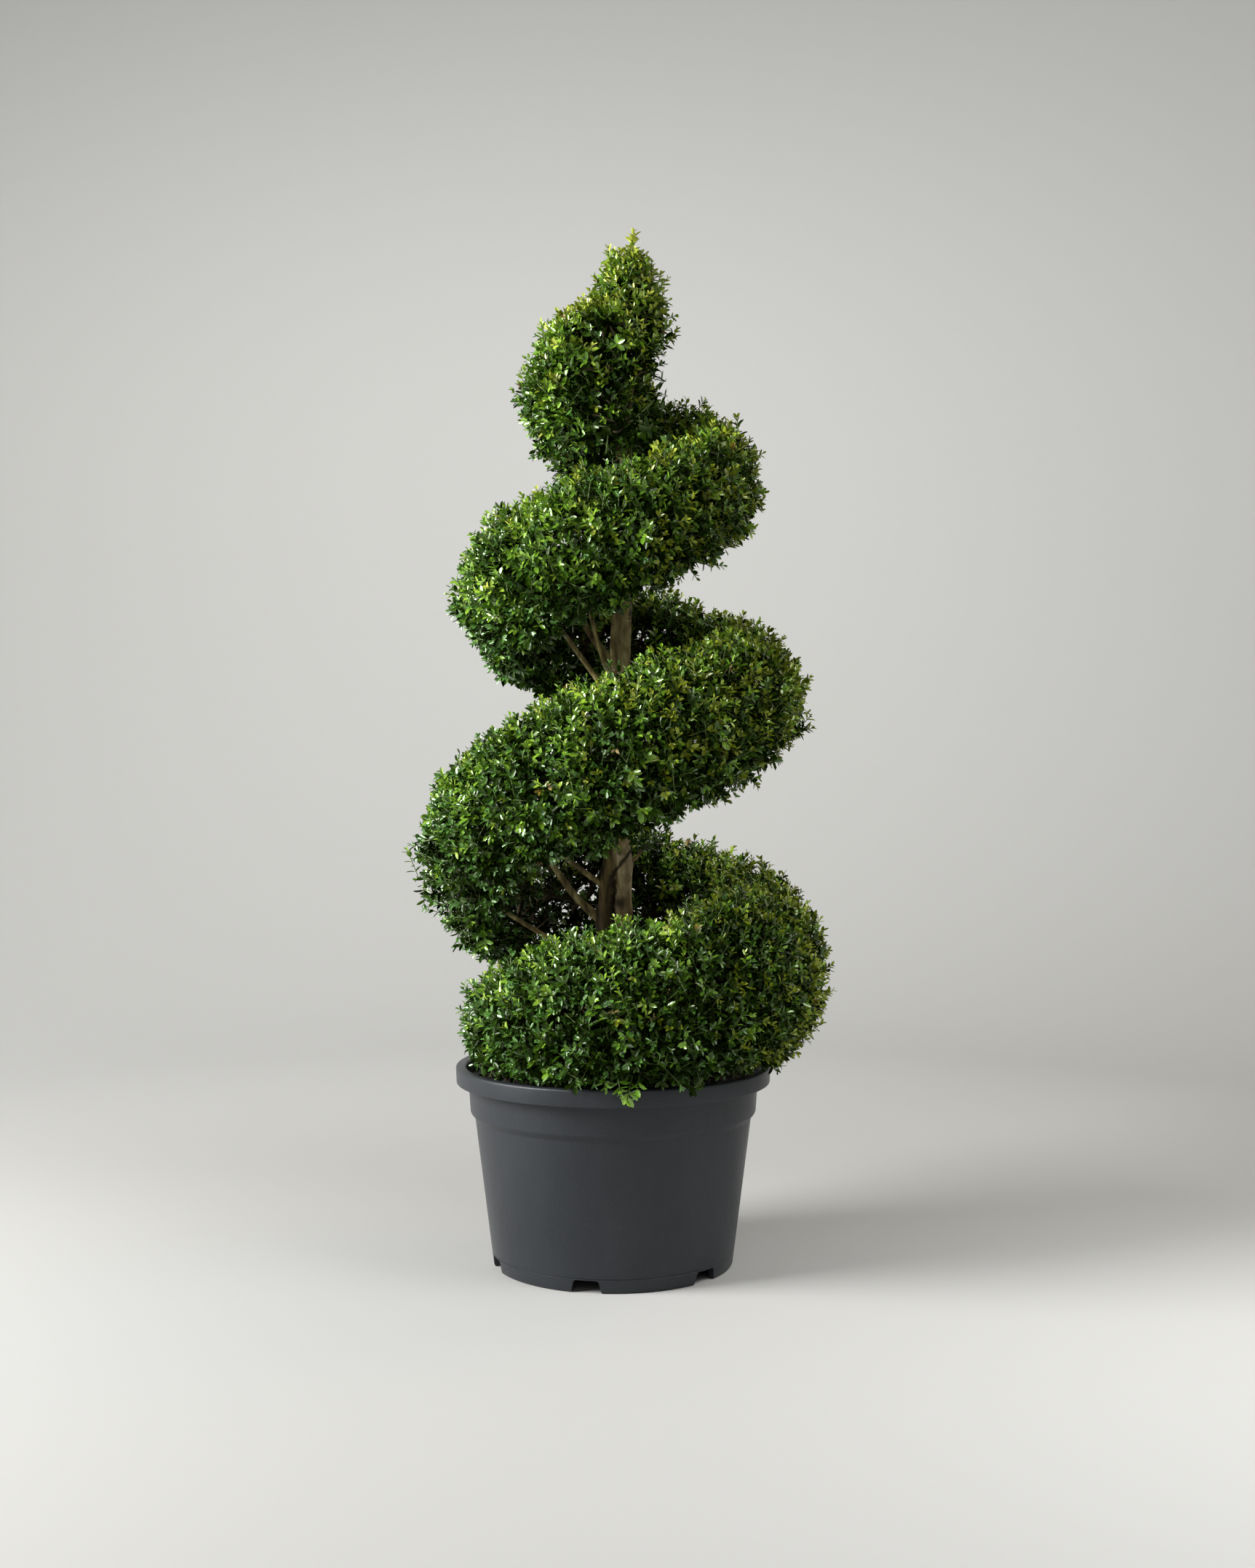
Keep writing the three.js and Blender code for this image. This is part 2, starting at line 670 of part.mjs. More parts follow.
// The upright shoot that carries on from the trunk's tip, with leaves held close round its end.
function makeLeader() {
  const foot = new THREE.Vector3(leanAt(TRUNK.tip), 0, TRUNK.tip + BORE + CLEAR);
  const top = new THREE.Vector3(leanAt(HEAD.top), 0, HEAD.top - LEADER.below);
  const pieces = [straightLimb(foot, top, TRUNK.tipRadius, LEADER.radius, 5)];
  for (let k = 0; k < LEADER.leaves; k++) {
    const bearing = (k / LEADER.leaves) * TAU;
    const facing = new THREE.Vector3(Math.cos(bearing), Math.sin(bearing), 0);
    const aim = new THREE.Vector3(0, 0, 1).addScaledVector(facing, LEADER.spread).normalize();
    pieces.push(solidOf(makeLeaf(top, aim, facing, LEADER.leafSize)));
  }
  return pieces;
}

let seed = 11;
for (let turn = FOLIAGE.firstTurn + FOLIAGE.perMass / 2; turn < FOLIAGE.lastTurn; turn += FOLIAGE.perMass) {
  addMass(turn, seeded(seed));
  seed += 7;
}
addHead(seeded(seed));

export default group;
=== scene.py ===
# A boxwood clipped as a rising spiral, in its round nursery pot: the looks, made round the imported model.
# Metres, +Z up, the front is -Y. The origin is the middle of the pot's underside.
import math

import bmesh
import bpy
import numpy as np
from mathutils import Matrix, Vector, noise


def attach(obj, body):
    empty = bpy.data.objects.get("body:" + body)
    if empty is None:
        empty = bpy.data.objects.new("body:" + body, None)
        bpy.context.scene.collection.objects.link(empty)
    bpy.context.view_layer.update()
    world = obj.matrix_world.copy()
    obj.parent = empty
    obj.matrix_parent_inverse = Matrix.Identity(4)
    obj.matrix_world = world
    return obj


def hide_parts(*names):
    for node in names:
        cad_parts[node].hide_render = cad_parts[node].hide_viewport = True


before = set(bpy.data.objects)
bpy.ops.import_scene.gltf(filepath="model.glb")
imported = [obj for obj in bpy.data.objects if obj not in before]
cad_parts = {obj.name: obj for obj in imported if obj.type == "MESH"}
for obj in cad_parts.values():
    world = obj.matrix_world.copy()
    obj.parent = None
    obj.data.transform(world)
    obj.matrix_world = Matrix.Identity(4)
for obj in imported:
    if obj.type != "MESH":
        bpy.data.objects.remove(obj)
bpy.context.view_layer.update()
tau = 2 * math.pi
golden = 0.618  # share of a turn from one shoot to the next
noise.seed_set(50)  # so that the trunk sways alike on each run
sideNames = ["left", "front", "right", "back"]
print("frame loaded,", len(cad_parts), "nodes")


# Camera, studio and light

view = {"place": (0.0205, -2.708, 0.7286), "lookDown": 0.914, "lens": 43.4}


def placed(name, data):
    made = bpy.data.objects.new(name, data)
    bpy.context.scene.collection.objects.link(made)
    return made


def addCamera():
    data = bpy.data.cameras.new("camera")
    data.lens = view["lens"]
    camera = placed("camera", data)
    camera.location = view["place"]
    camera.rotation_euler = (math.radians(90 - view["lookDown"]), 0, 0)
    bpy.context.scene.camera = camera


studio = {
    "floorRadius": 2.0,
    "wallRadius": 3.5,
    "wallHeight": 3.6,
    "curveSteps": 12,
    "sides": 96,
    "colour": (0.403, 0.403, 0.396),
    "roughness": 0.85,
    "ambient": 0.096,
    "ambientColour": (0.95, 0.98, 1.0),
    "lamps": [
        {"name": "key", "place": (-2.75, -0.95, 1.90), "aim": (0, 0, 0.95), "size": 1.6, "power": 250,
         "colour": (1.0, 0.992, 0.975)},
        {"name": "warm", "place": (1.9, 0.9, 2.3), "aim": (0, 0, 0.9), "size": 1.0, "power": 11,
         "colour": (1.0, 0.90, 0.66)},
        {"name": "overhead", "place": (1.55, -1.1, 2.3), "aim": (1.15, -0.5, 0), "size": 1.2, "power": 15,
         "colour": (1.0, 1.0, 1.0), "spread": 75},
        {"name": "wall", "place": (-0.15, 0.9, 2.2), "aim": (-0.1, 3.4, 1.3), "size": 1.4, "power": 34,
         "colour": (1.0, 1.0, 0.985), "spread": 150},
    ],
}


# Floor and wall are one bowl, open at the top, so that any side can be looked at.
def buildStudio():
    s = studio
    rise = s["wallRadius"] - s["floorRadius"]
    profile = [(0, 0, 0)]
    for k in range(s["curveSteps"] + 1):
        angle = k / s["curveSteps"] * math.pi / 2
        profile.append((s["floorRadius"] + rise * math.sin(angle), rise * (1 - math.cos(angle)), 0))
    profile.append((s["wallRadius"], s["wallHeight"], 0))
    mesh = meshFrom(spunMesh(profile, s["sides"]), "studio")
    mesh.flip_normals()
    mesh.materials.append(newMaterial("studioPaint", s["colour"], s["roughness"]))
    placed("studio", mesh)


def addLight():
    for lamp in studio["lamps"]:
        data = bpy.data.lights.new(lamp["name"], "AREA")
        data.size = lamp["size"]
        data.energy = lamp["power"]
        data.color = lamp["colour"]
        data.spread = math.radians(lamp.get("spread", 180))
        light = placed(lamp["name"], data)
        light.location = lamp["place"]
        aim = Vector(lamp["aim"]) - light.location
        light.rotation_euler = aim.to_track_quat("-Z", "Y").to_euler()
        light.visible_camera = False
    world = bpy.data.worlds.new("studioAir")
    world.use_nodes = True
    air = world.node_tree.nodes["Background"]
    air.inputs["Color"].default_value = (*studio["ambientColour"], 1)
    air.inputs["Strength"].default_value = studio["ambient"]
    bpy.context.scene.world = world
    bpy.context.scene.view_settings.view_transform = "Standard"


# Materials

def newMaterial(name, colour, roughness, values=()):
    material = bpy.data.materials.new(name)
    material.use_nodes = True
    shader = material.node_tree.nodes["Principled BSDF"]
    for place, value in {"Base Color": (*colour, 1), "Roughness": roughness, **dict(values)}.items():
        shader.inputs[place].default_value = value
    return material


# A shader node with its settings, its inputs linked to their sources and the others set to their values.
def addNode(material, kind, sources=(), values=(), **settings):
    node = material.node_tree.nodes.new("ShaderNode" + kind)
    for name, setting in settings.items():
        setattr(node, name, setting)
    for place, source in dict(sources).items():
        material.node_tree.links.new(source, node.inputs[place])
    for place, value in dict(values).items():
        node.inputs[place].default_value = value
    return node


def whereNow(material):
    return addNode(material, "TexCoord").outputs["Object"]


def addNoise(material, scale, stretch=(1, 1, 1), detail=4, roughness=0.6, distortion=0.0):
    mapping = addNode(material, "Mapping", {"Vector": whereNow(material)}, {"Scale": stretch})
    texture = addNode(material, "TexNoise", {"Vector": mapping.outputs["Vector"]},
                      {"Scale": scale, "Detail": detail, "Roughness": roughness, "Distortion": distortion})
    return texture.outputs["Fac"]


def addRamp(material, source, stops):
    ramp = addNode(material, "ValToRGB", {"Fac": source})
    elements = ramp.color_ramp.elements
    while len(elements) < len(stops):
        elements.new(0.5)
    for element, (place, colour) in zip(elements, stops):
        element.position = place
        element.color = (*colour, 1)
    return ramp.outputs["Color"]


def addMix(material, share, first, second):
    return addNode(material, "Mix", {"Factor": share, 6: first, 7: second}, data_type="RGBA").outputs[2]


def multiplied(material, first, second):
    mix = addNode(material, "Mix", {6: first, 7: second}, {"Factor": 1.0}, data_type="RGBA",
                  blend_type="MULTIPLY")
    return mix.outputs[2]


def addRange(material, source, low, high, fromLow=0.3, fromHigh=0.7):
    spread = addNode(material, "MapRange", {"Value": source},
                     {"From Min": fromLow, "From Max": fromHigh, "To Min": low, "To Max": high})
    return spread.outputs["Result"]


# How far a point lies along an axis, from the first value at the low end to the second at the high one.
def addWay(material, axis, ends, first, second):
    split = addNode(material, "SeparateXYZ", {"Vector": whereNow(material)})
    return addRange(material, split.outputs[axis], first, second, *ends)


def addMath(material, operation, first, second):
    return addNode(material, "Math", {0: first, 1: second}, operation=operation).outputs["Value"]


# How much painted shade a hollow puts on its bark: fully in its middle, and not at all from the radius on.
def addPaintedHollowShade(material, place, radius):
    apart = addNode(material, "VectorMath", {0: whereNow(material)}, {1: place}, operation="DISTANCE")
    middle = paintedShadeDepth["middle"] * radius
    return addRange(material, apart.outputs["Value"], paintedShadeDepth["hollowShade"], 0, middle, radius)


def addBump(material, source, depth, under=None):
    sources = {"Height": source, "Normal": under} if under else {"Height": source}
    return addNode(material, "Bump", sources, {"Strength": 1, "Distance": depth}).outputs["Normal"]


def feed(material, colour, roughness, relief):
    shader = material.node_tree.nodes["Principled BSDF"]
    for place, source in (("Base Color", colour), ("Roughness", roughness), ("Normal", relief)):
        material.node_tree.links.new(source, shader.inputs[place])
    return material


def potPlastic():
    material = newMaterial("potPlastic", (0.03, 0.032, 0.036), 0.5, {"Specular IOR Level": 0.30})
    cloud = addNoise(material, 9, (1, 1, 0.45), 3)
    speckle = addNoise(material, 420, detail=3)
    grain = addNoise(material, 1500, detail=2)
    body = addRamp(material, cloud, [(0.3, (0.0182, 0.0208, 0.0252)), (0.7, (0.0254, 0.0290, 0.0346))])
    dots = addRamp(material, speckle, [(0.35, (0.86, 0.86, 0.86)), (0.62, (1.0, 1.0, 1.0)),
                                       (0.78, (1.35, 1.35, 1.33))])
    fine = addBump(material, grain, 0.00018)
    relief = addBump(material, addNoise(material, 60, (1, 1, 0.3)), 0.0004, fine)
    return feed(material, multiplied(material, body, dots), addRange(material, cloud, 0.30, 0.42), relief)


def pottingSoil():
    material = newMaterial("pottingSoil", (0.03, 0.021, 0.014), 0.95)
    crumb = addNoise(material, 260, detail=6)
    shade = addRamp(material, crumb, [(0.3, (0.010, 0.007, 0.005)), (0.6, (0.040, 0.027, 0.018)),
                                      (0.75, (0.10, 0.07, 0.045))])
    return feed(material, shade, addRange(material, crumb, 0.85, 1.0), addBump(material, crumb, 0.002))


# Bark from its cracks to its ridges: the brown left stem, the pale right one, and the boughs.
woods = {
    "brown": ((0.024, 0.016, 0.004), (0.086, 0.060, 0.015), (0.20, 0.145, 0.045)),
    "pale": ((0.100, 0.068, 0.030), (0.390, 0.300, 0.165), (0.78, 0.67, 0.450)),
    "bough": ((0.060, 0.040, 0.015), (0.21, 0.158, 0.062), (0.50, 0.41, 0.19)),
}
# Painted shade in the hollows of the bark: where each one is, and how far it reaches.
hollowShadeSpots = [((0.0085, -0.013, 0.516), 0.013), ((0.0005, -0.010, 0.545), 0.007),
         ((0.0090, -0.012, 0.588), 0.006)]
# Where the painted shade of the seam lies: its place, its sway, its width, the heights where it swings
# right, and how far.
seamShade = {"place": 0.0006, "sway": 0.004, "width": 0.0044, "forks": (0.556, 0.590), "swing": 0.028}
# How dark the painted shade gets in the middle of a hollow and of the seam.
paintedShadeDepth = {"hollowShade": 0.92, "seamShade": 0.95, "middle": 0.25}  # the last is a share of the radius or width


# Painted shade in the seam between the two stems, which swings right under the fork.
def addSeamShade(material):
    s = seamShade
    waves = addNoise(material, 60, (0.5, 0.5, 1), 3, 0.6, 0.5)
    sway = addRange(material, waves, s["place"] - s["sway"], s["place"] + s["sway"])
    line = addMath(material, "ADD", sway, addWay(material, "Z", s["forks"], 0, s["swing"]))
    aside = addMath(material, "SUBTRACT", addWay(material, "X", (-0.1, 0.1), -0.1, 0.1), line)
    apart = addMath(material, "MULTIPLY", aside, aside)
    middle = paintedShadeDepth["middle"] * s["width"]
    return addRange(material, apart, paintedShadeDepth["seamShade"], 0, middle ** 2, s["width"] ** 2)


def barkWood(name, left, right, seamed=False):
    material = newMaterial(name, woods[left][1], 0.85)
    streak = addNoise(material, 26, (3, 3, 0.7), 4, 0.55, 0.7)
    blotch = addNoise(material, 40, (1.6, 1.6, 0.6), 4, 0.55, 0.8)
    moss = addNoise(material, 15, (1, 1, 0.6), 3)
    check = addNoise(material, 420, (1, 1, 0.45), 5)
    near = addRamp(material, streak, list(zip((0.32, 0.50, 0.68), woods[left])))
    far = addRamp(material, blotch, list(zip((0.30, 0.44, 0.66), woods[right])))
    wood = addMix(material, addWay(material, "X", (-0.002, 0.003), 0, 1), near, far)
    veil = addRamp(material, moss, [(0.42, (1.0, 1.0, 1.0)), (0.66, (0.86, 0.88, 0.74))])
    wood = multiplied(material, wood, veil)
    shadeMasks = [addPaintedHollowShade(material, place, radius) for place, radius in hollowShadeSpots]
    if seamed:
        shadeMasks.append(addSeamShade(material))
        # Along the height: darker at the foot, lightest between the lowest coils, and darker again up inside
        # the coils: painted shade of the foliage above.
        shadeByHeight = addRamp(material, addWay(material, "Z", (0.50, 0.84), 0, 1),
                       [(0.0, (0.50, 0.43, 0.36)), (0.13, (1.0, 0.98, 0.94)), (0.24, (1.0, 1.0, 1.0)),
                        (0.33, (0.80, 0.72, 0.62)), (1.0, (0.56, 0.56, 0.41))])
        wood = multiplied(material, wood, shadeByHeight)
    # Painted shade in the hollows and the seam, in the bark's darkest brown.
    for shadeMask in shadeMasks:
        shadeColour = addNode(material, "RGB").outputs["Color"]
        shadeColour.default_value = (*woods["brown"][0], 1)
        wood = addMix(material, shadeMask, wood, shadeColour)
    relief = addBump(material, streak, 0.0012, addBump(material, check, 0.0004))
    return feed(material, wood, addRange(material, streak, 0.92, 0.68), relief)


# Leaf tints, from the oldest leaves to the newest, dealt out by shoot. Inner and shade are near black:
# painted shade for the leaves deep in the crown.
tints = {
    "inner": (0.010, 0.022, 0.002),
    "shade": (0.021, 0.050, 0.003),
    "deep": (0.043, 0.104, 0.007),
    "blue": (0.072, 0.182, 0.030),
    "green": (0.110, 0.236, 0.015),
    "grass": (0.182, 0.335, 0.022),
    "olive": (0.142, 0.182, 0.009),
    "golden": (0.238, 0.292, 0.018),
    "fresh": (0.290, 0.440, 0.036),
    "yellow": (0.430, 0.490, 0.060),
    "bronze": (0.160, 0.115, 0.016),
    "fallow": (0.240, 0.180, 0.075),
}
# Each tint's next older one, darker down the shoot: partly older leaves, partly painted shade deeper in the
# crown.
older = {"yellow": "fresh", "fresh": "grass", "golden": "olive", "grass": "green", "green": "deep",
         "blue": "shade", "olive": "shade", "deep": "shade", "shade": "inner", "inner": "inner",
         "bronze": "shade", "fallow": "inner"}
tintNumber = {name: number for number, name in enumerate(tints)}
olderTint = np.array([tintNumber[older[name]] for name in tints])
leafFinish = {
    "roughness": 0.26,
    "gloss": {"inner": 0.04, "shade": 0.3, "deep": 0.7, "olive": 0.4, "golden": 0.6, "bronze": 0.4,
              "fallow": 0.1},
    "openGloss": 1.0,  # of every other tint
    "sheen": 0.90,  # how white a glint is beside its leaf
}


def leafMaterials():
    made = []
    for name, colour in tints.items():
        white = leafFinish["sheen"]
        glint = [white + (1 - white) * part / max(colour) for part in colour]
        shine = {"Specular IOR Level": leafFinish["gloss"].get(name, leafFinish["openGloss"]),
                 "Specular Tint": (*glint, 1)}
        made.append(newMaterial("leaf" + name.capitalize(), colour, leafFinish["roughness"], shine))
    return made


# Pieces

def addPiece(name, mesh, materials, replaced):
    piece = placed(name, mesh)
    for material in materials:
        mesh.materials.append(material)
    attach(piece, "root")
    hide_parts(*replaced)


def meshFrom(bm, name, sharpAngle=40):
    bmesh.ops.recalc_face_normals(bm, faces=bm.faces)
    for face in bm.faces:
        face.smooth = True
    mesh = bpy.data.meshes.new(name)
    bm.to_mesh(mesh)
    bm.free()
    mesh.set_sharp_from_angle(angle=math.radians(sharpAngle))
    return mesh


# Joins or cuts two closed meshes, and drops the second.
def combined(mesh, other, operation):
    base, tool = placed("base", mesh), placed("tool", other)
    cut = base.modifiers.new("cut", "BOOLEAN")
    cut.object = tool
    cut.operation = operation
    cut.solver = "EXACT"
    graph = bpy.context.evaluated_depsgraph_get()
    made = bpy.data.meshes.new_from_object(base.evaluated_get(graph))
    made.materials.clear()
    bpy.data.objects.remove(base)
    bpy.data.objects.remove(tool)
    return made


# Pot

pot = {
    "height": 0.285,
    "rimRadius": 0.225,
    "rimDepth": 0.024,
    "rimWidth": 0.015,
    "bandTop": 0.207,
    "bandBottom": 0.204,
    "bandLow": 0.219,
    "stepLow": 0.211,
    "wallTop": 0.1975,
    "wallBottom": 0.171,
    "wallThick": 0.0035,
    "footWidth": 0.008,
    "padRadius": 0.062,
    "floorUnder": 0.021,
    "floorThick": 0.004,
    "draft": 0.003,
    "round": 0.0035,  # rounding of the rim's and foot's edges
    "soften": 0.0012,  # rounding of the smaller edges
    "footLine": 0.0185,  # height of the faint line round the foot
    "sides": 160,
}
notch = {"count": 6, "width": 0.042, "widens": 1.04, "topWidth": 0.035, "height": 0.018, "under": 0.004,
         "bearing": -102, "reach": 0.022, "past": 0.004, "round": 0.004, "roundSteps": 4}


def potProfile():
    p = pot
    low = p["height"] - p["rimDepth"]
    inner = p["rimRadius"] - p["rimWidth"]
    thick = p["wallThick"]
    floor = p["floorUnder"] + p["floorThick"]
    slope = (p["wallTop"] - p["wallBottom"]) / p["stepLow"]
    wall = lambda z: p["wallBottom"] + slope * z
    line = p["footLine"]
    return [  # radius, height, rounding
        (0, 0, 0),
        (p["padRadius"], 0, 0.001),
        (p["padRadius"] + p["draft"], p["floorUnder"], 0.001),
        (p["wallBottom"] - p["footWidth"] - p["draft"], p["floorUnder"], 0.001),
        (p["wallBottom"] - p["footWidth"], 0, 0.001),
        (p["wallBottom"], 0, p["round"]),
        (wall(line), line, 0),
        (wall(line) - 0.0007, line + 0.0006, 0),
        (wall(line) - 0.0007, line + 0.0016, 0),
        (wall(line + 0.0022), line + 0.0022, 0),
        (p["wallTop"], p["stepLow"], 0.002),
        (p["bandBottom"], p["bandLow"], 0.002),
        (p["bandTop"], low, p["soften"]),
        (p["rimRadius"] - 0.001, low, p["soften"]),
        (p["rimRadius"], p["height"], p["round"]),
        (inner, p["height"] - 0.0005, p["round"]),
        (inner - 0.001, low + 0.002, p["soften"]),
        (p["bandTop"] - thick, low - 0.002, p["soften"]),
        (p["bandBottom"] - thick, p["bandLow"], 0.001),
        (p["wallTop"] - thick, p["stepLow"], 0.001),
        (wall(floor) - thick, floor, 0.001),
        (0, floor, 0),
    ]


def spunMesh(profile, sides, roundSteps=4):
    bm = bmesh.new()
    verts = [bm.verts.new((r, 0, z)) for r, z, _ in profile]
    edges = [bm.edges.new(pair) for pair in zip(verts, verts[1:])]
    bmesh.ops.spin(bm, geom=verts + edges, angle=tau, steps=sides, axis=(0, 0, 1), cent=(0, 0, 0),
                   use_merge=True)
    bmesh.ops.remove_doubles(bm, verts=bm.verts, dist=1e-6)
    for radius, height, rounding in profile:
        if rounding:
            away = lambda v: abs(math.hypot(v.co.x, v.co.y) - radius)
            onRing = lambda v: abs(v.co.z - height) < 1e-5 and away(v) < 1e-5
            ring = [e for e in bm.edges if all(onRing(v) for v in e.verts)]
            bmesh.ops.bevel(bm, geom=ring, offset=rounding, segments=roundSteps, affect="EDGES", profile=0.5,
                            material=-1, clamp_overlap=True)
    return bm


def buildPot(material):
    bm = spunMesh(potProfile(), pot["sides"])
    whole = meshFrom(bm, "wholePot")
    bm = bmesh.new()
    for k in range(notch["count"]):
        made = bmesh.ops.create_cube(bm, size=1)["verts"]
        for vert in made:
            top = vert.co.z > 0
            width = notch["topWidth"] if top else notch["width"] * notch["widens"]
            vert.co.x *= width
            vert.co.y *= notch["reach"]
            vert.co.z = notch["height"] if top else -notch["under"]
        uprights = [e for e in {e for v in made for e in v.link_edges} if all(v.co.z > 0 for v in e.verts)
                    and abs(e.verts[0].co.x - e.verts[1].co.x) < 1e-6]
        rounded = bmesh.ops.bevel(bm, geom=uprights, offset=notch["round"], segments=notch["roundSteps"],
                                  affect="EDGES", profile=0.5, material=-1)
        made = {v for v in made if v.is_valid} | set(rounded["verts"])
        bearing = math.radians(notch["bearing"] + 360 / notch["count"] * k)
        away = pot["wallBottom"] - notch["reach"] / 2 + notch["past"]
        facing = Matrix.Rotation(bearing + math.pi / 2, 3, "Z")
        bmesh.ops.rotate(bm, verts=list(made), cent=(0, 0, 0), matrix=facing)
        place = (away * math.cos(bearing), away * math.sin(bearing), 0)
        bmesh.ops.translate(bm, verts=list(made), vec=place)
    cutters = meshFrom(bm, "notches")
    mesh = combined(whole, cutters, "DIFFERENCE")
    mesh.set_sharp_from_angle(angle=math.radians(32))
    addPiece("potShell", mesh, [material], ["pot"])


# Soil

soil = {
    "top": 0.262,
    "edgeLower": 0.004,
    "clear": 0.0005,  # of the pot's wall
    "floorClear": 0.0004,
    "rings": 46,
    "sides": 180,
    "rough": 0.0045,
    "roughScale": 28,
    "sunk": (0.002, 0.001),  # how much lower the surface and the crumbs lie than the top
    "crumbs": 2600,
    "crumbSize": (0.0012, 0.0045),
    "crumbStray": (0.6, 1.15),
    "crumbFlat": 0.7,
}


def moundAt(place):
    return soil["rough"] * noise.fractal(place * soil["roughScale"], 0.9, 2.1, 4)


def buildSoil(material):
    p = pot
    inset = p["wallThick"] + soil["clear"]
    floor = p["floorUnder"] + p["floorThick"] + soil["floorClear"]
    share = floor / p["stepLow"]
    rim = p["bandTop"] - inset
    profile = [(0, floor, 0), (p["wallBottom"] + (p["wallTop"] - p["wallBottom"]) * share - inset, floor, 0),
               (p["wallTop"] - inset, p["stepLow"], 0), (p["bandBottom"] - inset, p["bandLow"], 0),
               (rim, soil["top"] - soil["edgeLower"], 0)]
    rings = soil["rings"]
    profile += [(rim * (1 - k / rings), soil["top"], 0) for k in range(1, rings + 1)]
    bm = spunMesh(profile, soil["sides"])
    for vert in bm.verts:
        if vert.co.z > soil["top"] - 1e-4:
            vert.co.z += moundAt(vert.co) - soil["sunk"][0]
    rng = np.random.default_rng(5)
    for _ in range(soil["crumbs"]):
        size = rng.uniform(*soil["crumbSize"])
        away = rim * math.sqrt(rng.uniform(0, 0.96))
        bearing = rng.uniform(0, tau)
        made = bmesh.ops.create_icosphere(bm, subdivisions=1, radius=size)["verts"]
        spot = Vector((away * math.cos(bearing), away * math.sin(bearing), soil["top"]))
        spot.z += moundAt(spot) - soil["sunk"][1]
        for vert in made:
            vert.co *= rng.uniform(*soil["crumbStray"])
            vert.co.z *= soil["crumbFlat"]
            vert.co += spot
    addPiece("soilFill", meshFrom(bm, "soilFill"), [material], ["soil"])


# The clipped spiral, worked out as the solids are. Stations stand every half turn, turn 0 at the left.

clip = {
    "firstTurn": -0.5,
    "reach": [0.160, 0.219, 0.308, 0.289, 0.268, 0.244, 0.197, 0.157, 0.034, 0.079],
    "centre": [0.300, 0.338, 0.417, 0.576, 0.803, 0.950, 1.111, 1.250, 1.278, 1.342],
    "half": [0.044, 0.074, 0.136, 0.140, 0.111, 0.112, 0.099, 0.113, 0.106, 0.066],
    "inner": [0.100, 0.098, 0.096, 0.092, 0.084, 0.068, 0.046, 0.020, 0.006, 0.004],
    "keels": (0.75, 1.60),  # how pointed the underside is: squarer over the pot, keeled above it
    "keelFrom": (0.30, 0.80),
    "peak": 1.4,  # how pointed the topside is towards the head
    "peakFrom": (2.6, 3.0),
    "skirt": 0.026,  # how much lower the lowest turn hangs over the pot's front
    "skirtFades": (0.28, 0.50),
    "tuck": 0.034,  # how much higher the underside is cut between the left and the front
    "tuckFrom": (0.6, 0.95),
    "tuckFades": (1.5, 2.2),
    "frontLift": 0.030,
    "liftFades": (1.25, 2.25),
    "floor": 0.276,
    "lump": 0.0075,  # how far the clipped face swells and sinks
}
head = {"bottom": 1.248, "widest": 1.362, "top": 1.456, "radius": 0.058, "pointed": 1.12,
        "spineEnds": (0.03, 0.01), "spineAway": 0.008, "spineTurn": 2.4, "spinePlaces": 6}
lean = {"start": 0.262, "end": 1.478, "away": 0.029, "bend": 1.3}
masses = {"first": -0.375, "turn": 0.25, "last": 3.125, "end": 4.04, "underHead": 0.3, "headFrom": 0.5}


def leanAt(height):
    share = np.clip((np.asarray(height, float) - lean["start"]) / (lean["end"] - lean["start"]), 0, 1)
    return lean["away"] * share ** lean["bend"]


def aroundTrunk(away, bearing, height):
    away, bearing, height = np.broadcast_arrays(away, bearing, height)
    return np.stack([leanAt(height) + away * np.cos(bearing), away * np.sin(bearing), height], -1)


def bearingOf(turn):
    return math.pi + tau * turn


def along(name, turn):
    values = np.array(clip[name])
    place = (np.asarray(turn, float) - clip["firstTurn"]) * 2
    k = np.clip(np.floor(place).astype(int), 0, len(values) - 2)
    u = place - k
    slopeA = (values[k + 1] - values[np.maximum(k - 1, 0)]) / 2
    slopeB = (values[np.minimum(k + 2, len(values) - 1)] - values[k]) / 2
    rise = values[k + 1] - values[k]
    return (values[k] + u * slopeA + u ** 2 * (3 * rise - 2 * slopeA - slopeB)
            + u ** 3 * (slopeA + slopeB - 2 * rise))


def smooth(value, low, high):
    share = np.clip((value - low) / (high - low), 0, 1)
    return share * share * (3 - 2 * share)


def sectionAt(turn):
    turn = np.asarray(turn, float)
    fade = 1 - smooth(turn, *clip["liftFades"])
    front = np.maximum(0, np.sin(tau * turn))
    centre = along("centre", turn) + clip["frontLift"] * fade * front
    top = centre + along("half", turn)
    leftFront = np.where(front > 0, np.maximum(0, np.sin(2 * tau * turn)), 0)
    tucked = smooth(turn, *clip["tuckFrom"]) * (1 - smooth(turn, *clip["tuckFades"]))
    tuck = clip["tuck"] * tucked * leftFront
    skirt = clip["skirt"] * (1 - smooth(turn, *clip["skirtFades"])) * front
    bottom = np.maximum(centre - along("half", turn) + tuck - skirt, clip["floor"])
    reach, inner = along("reach", turn), along("inner", turn)
    return (reach + inner) / 2, (reach - inner) / 2, (top + bottom) / 2, (top - bottom) / 2


# How fast a section narrows above or below its middle height: as an ellipse at 1, more pointed over it.
def narrowing(turn, up):
    blunt, sharp = clip["keels"]
    below = blunt + (sharp - blunt) * smooth(turn, *clip["keelFrom"])
    above = 1 + (clip["peak"] - 1) * smooth(turn, *clip["peakFrom"])
    return np.where(up < 0, below, above)


def onSpiral(turn, angle, inset):
    middle, width, height, half = sectionAt(turn)
    cosine = np.cos(angle)
    across = np.sign(cosine) * np.abs(cosine) ** narrowing(turn, np.sin(angle))
    away = middle + (width - inset) * across
    return aroundTrunk(away, bearingOf(turn), height + (half - inset) * np.sin(angle))


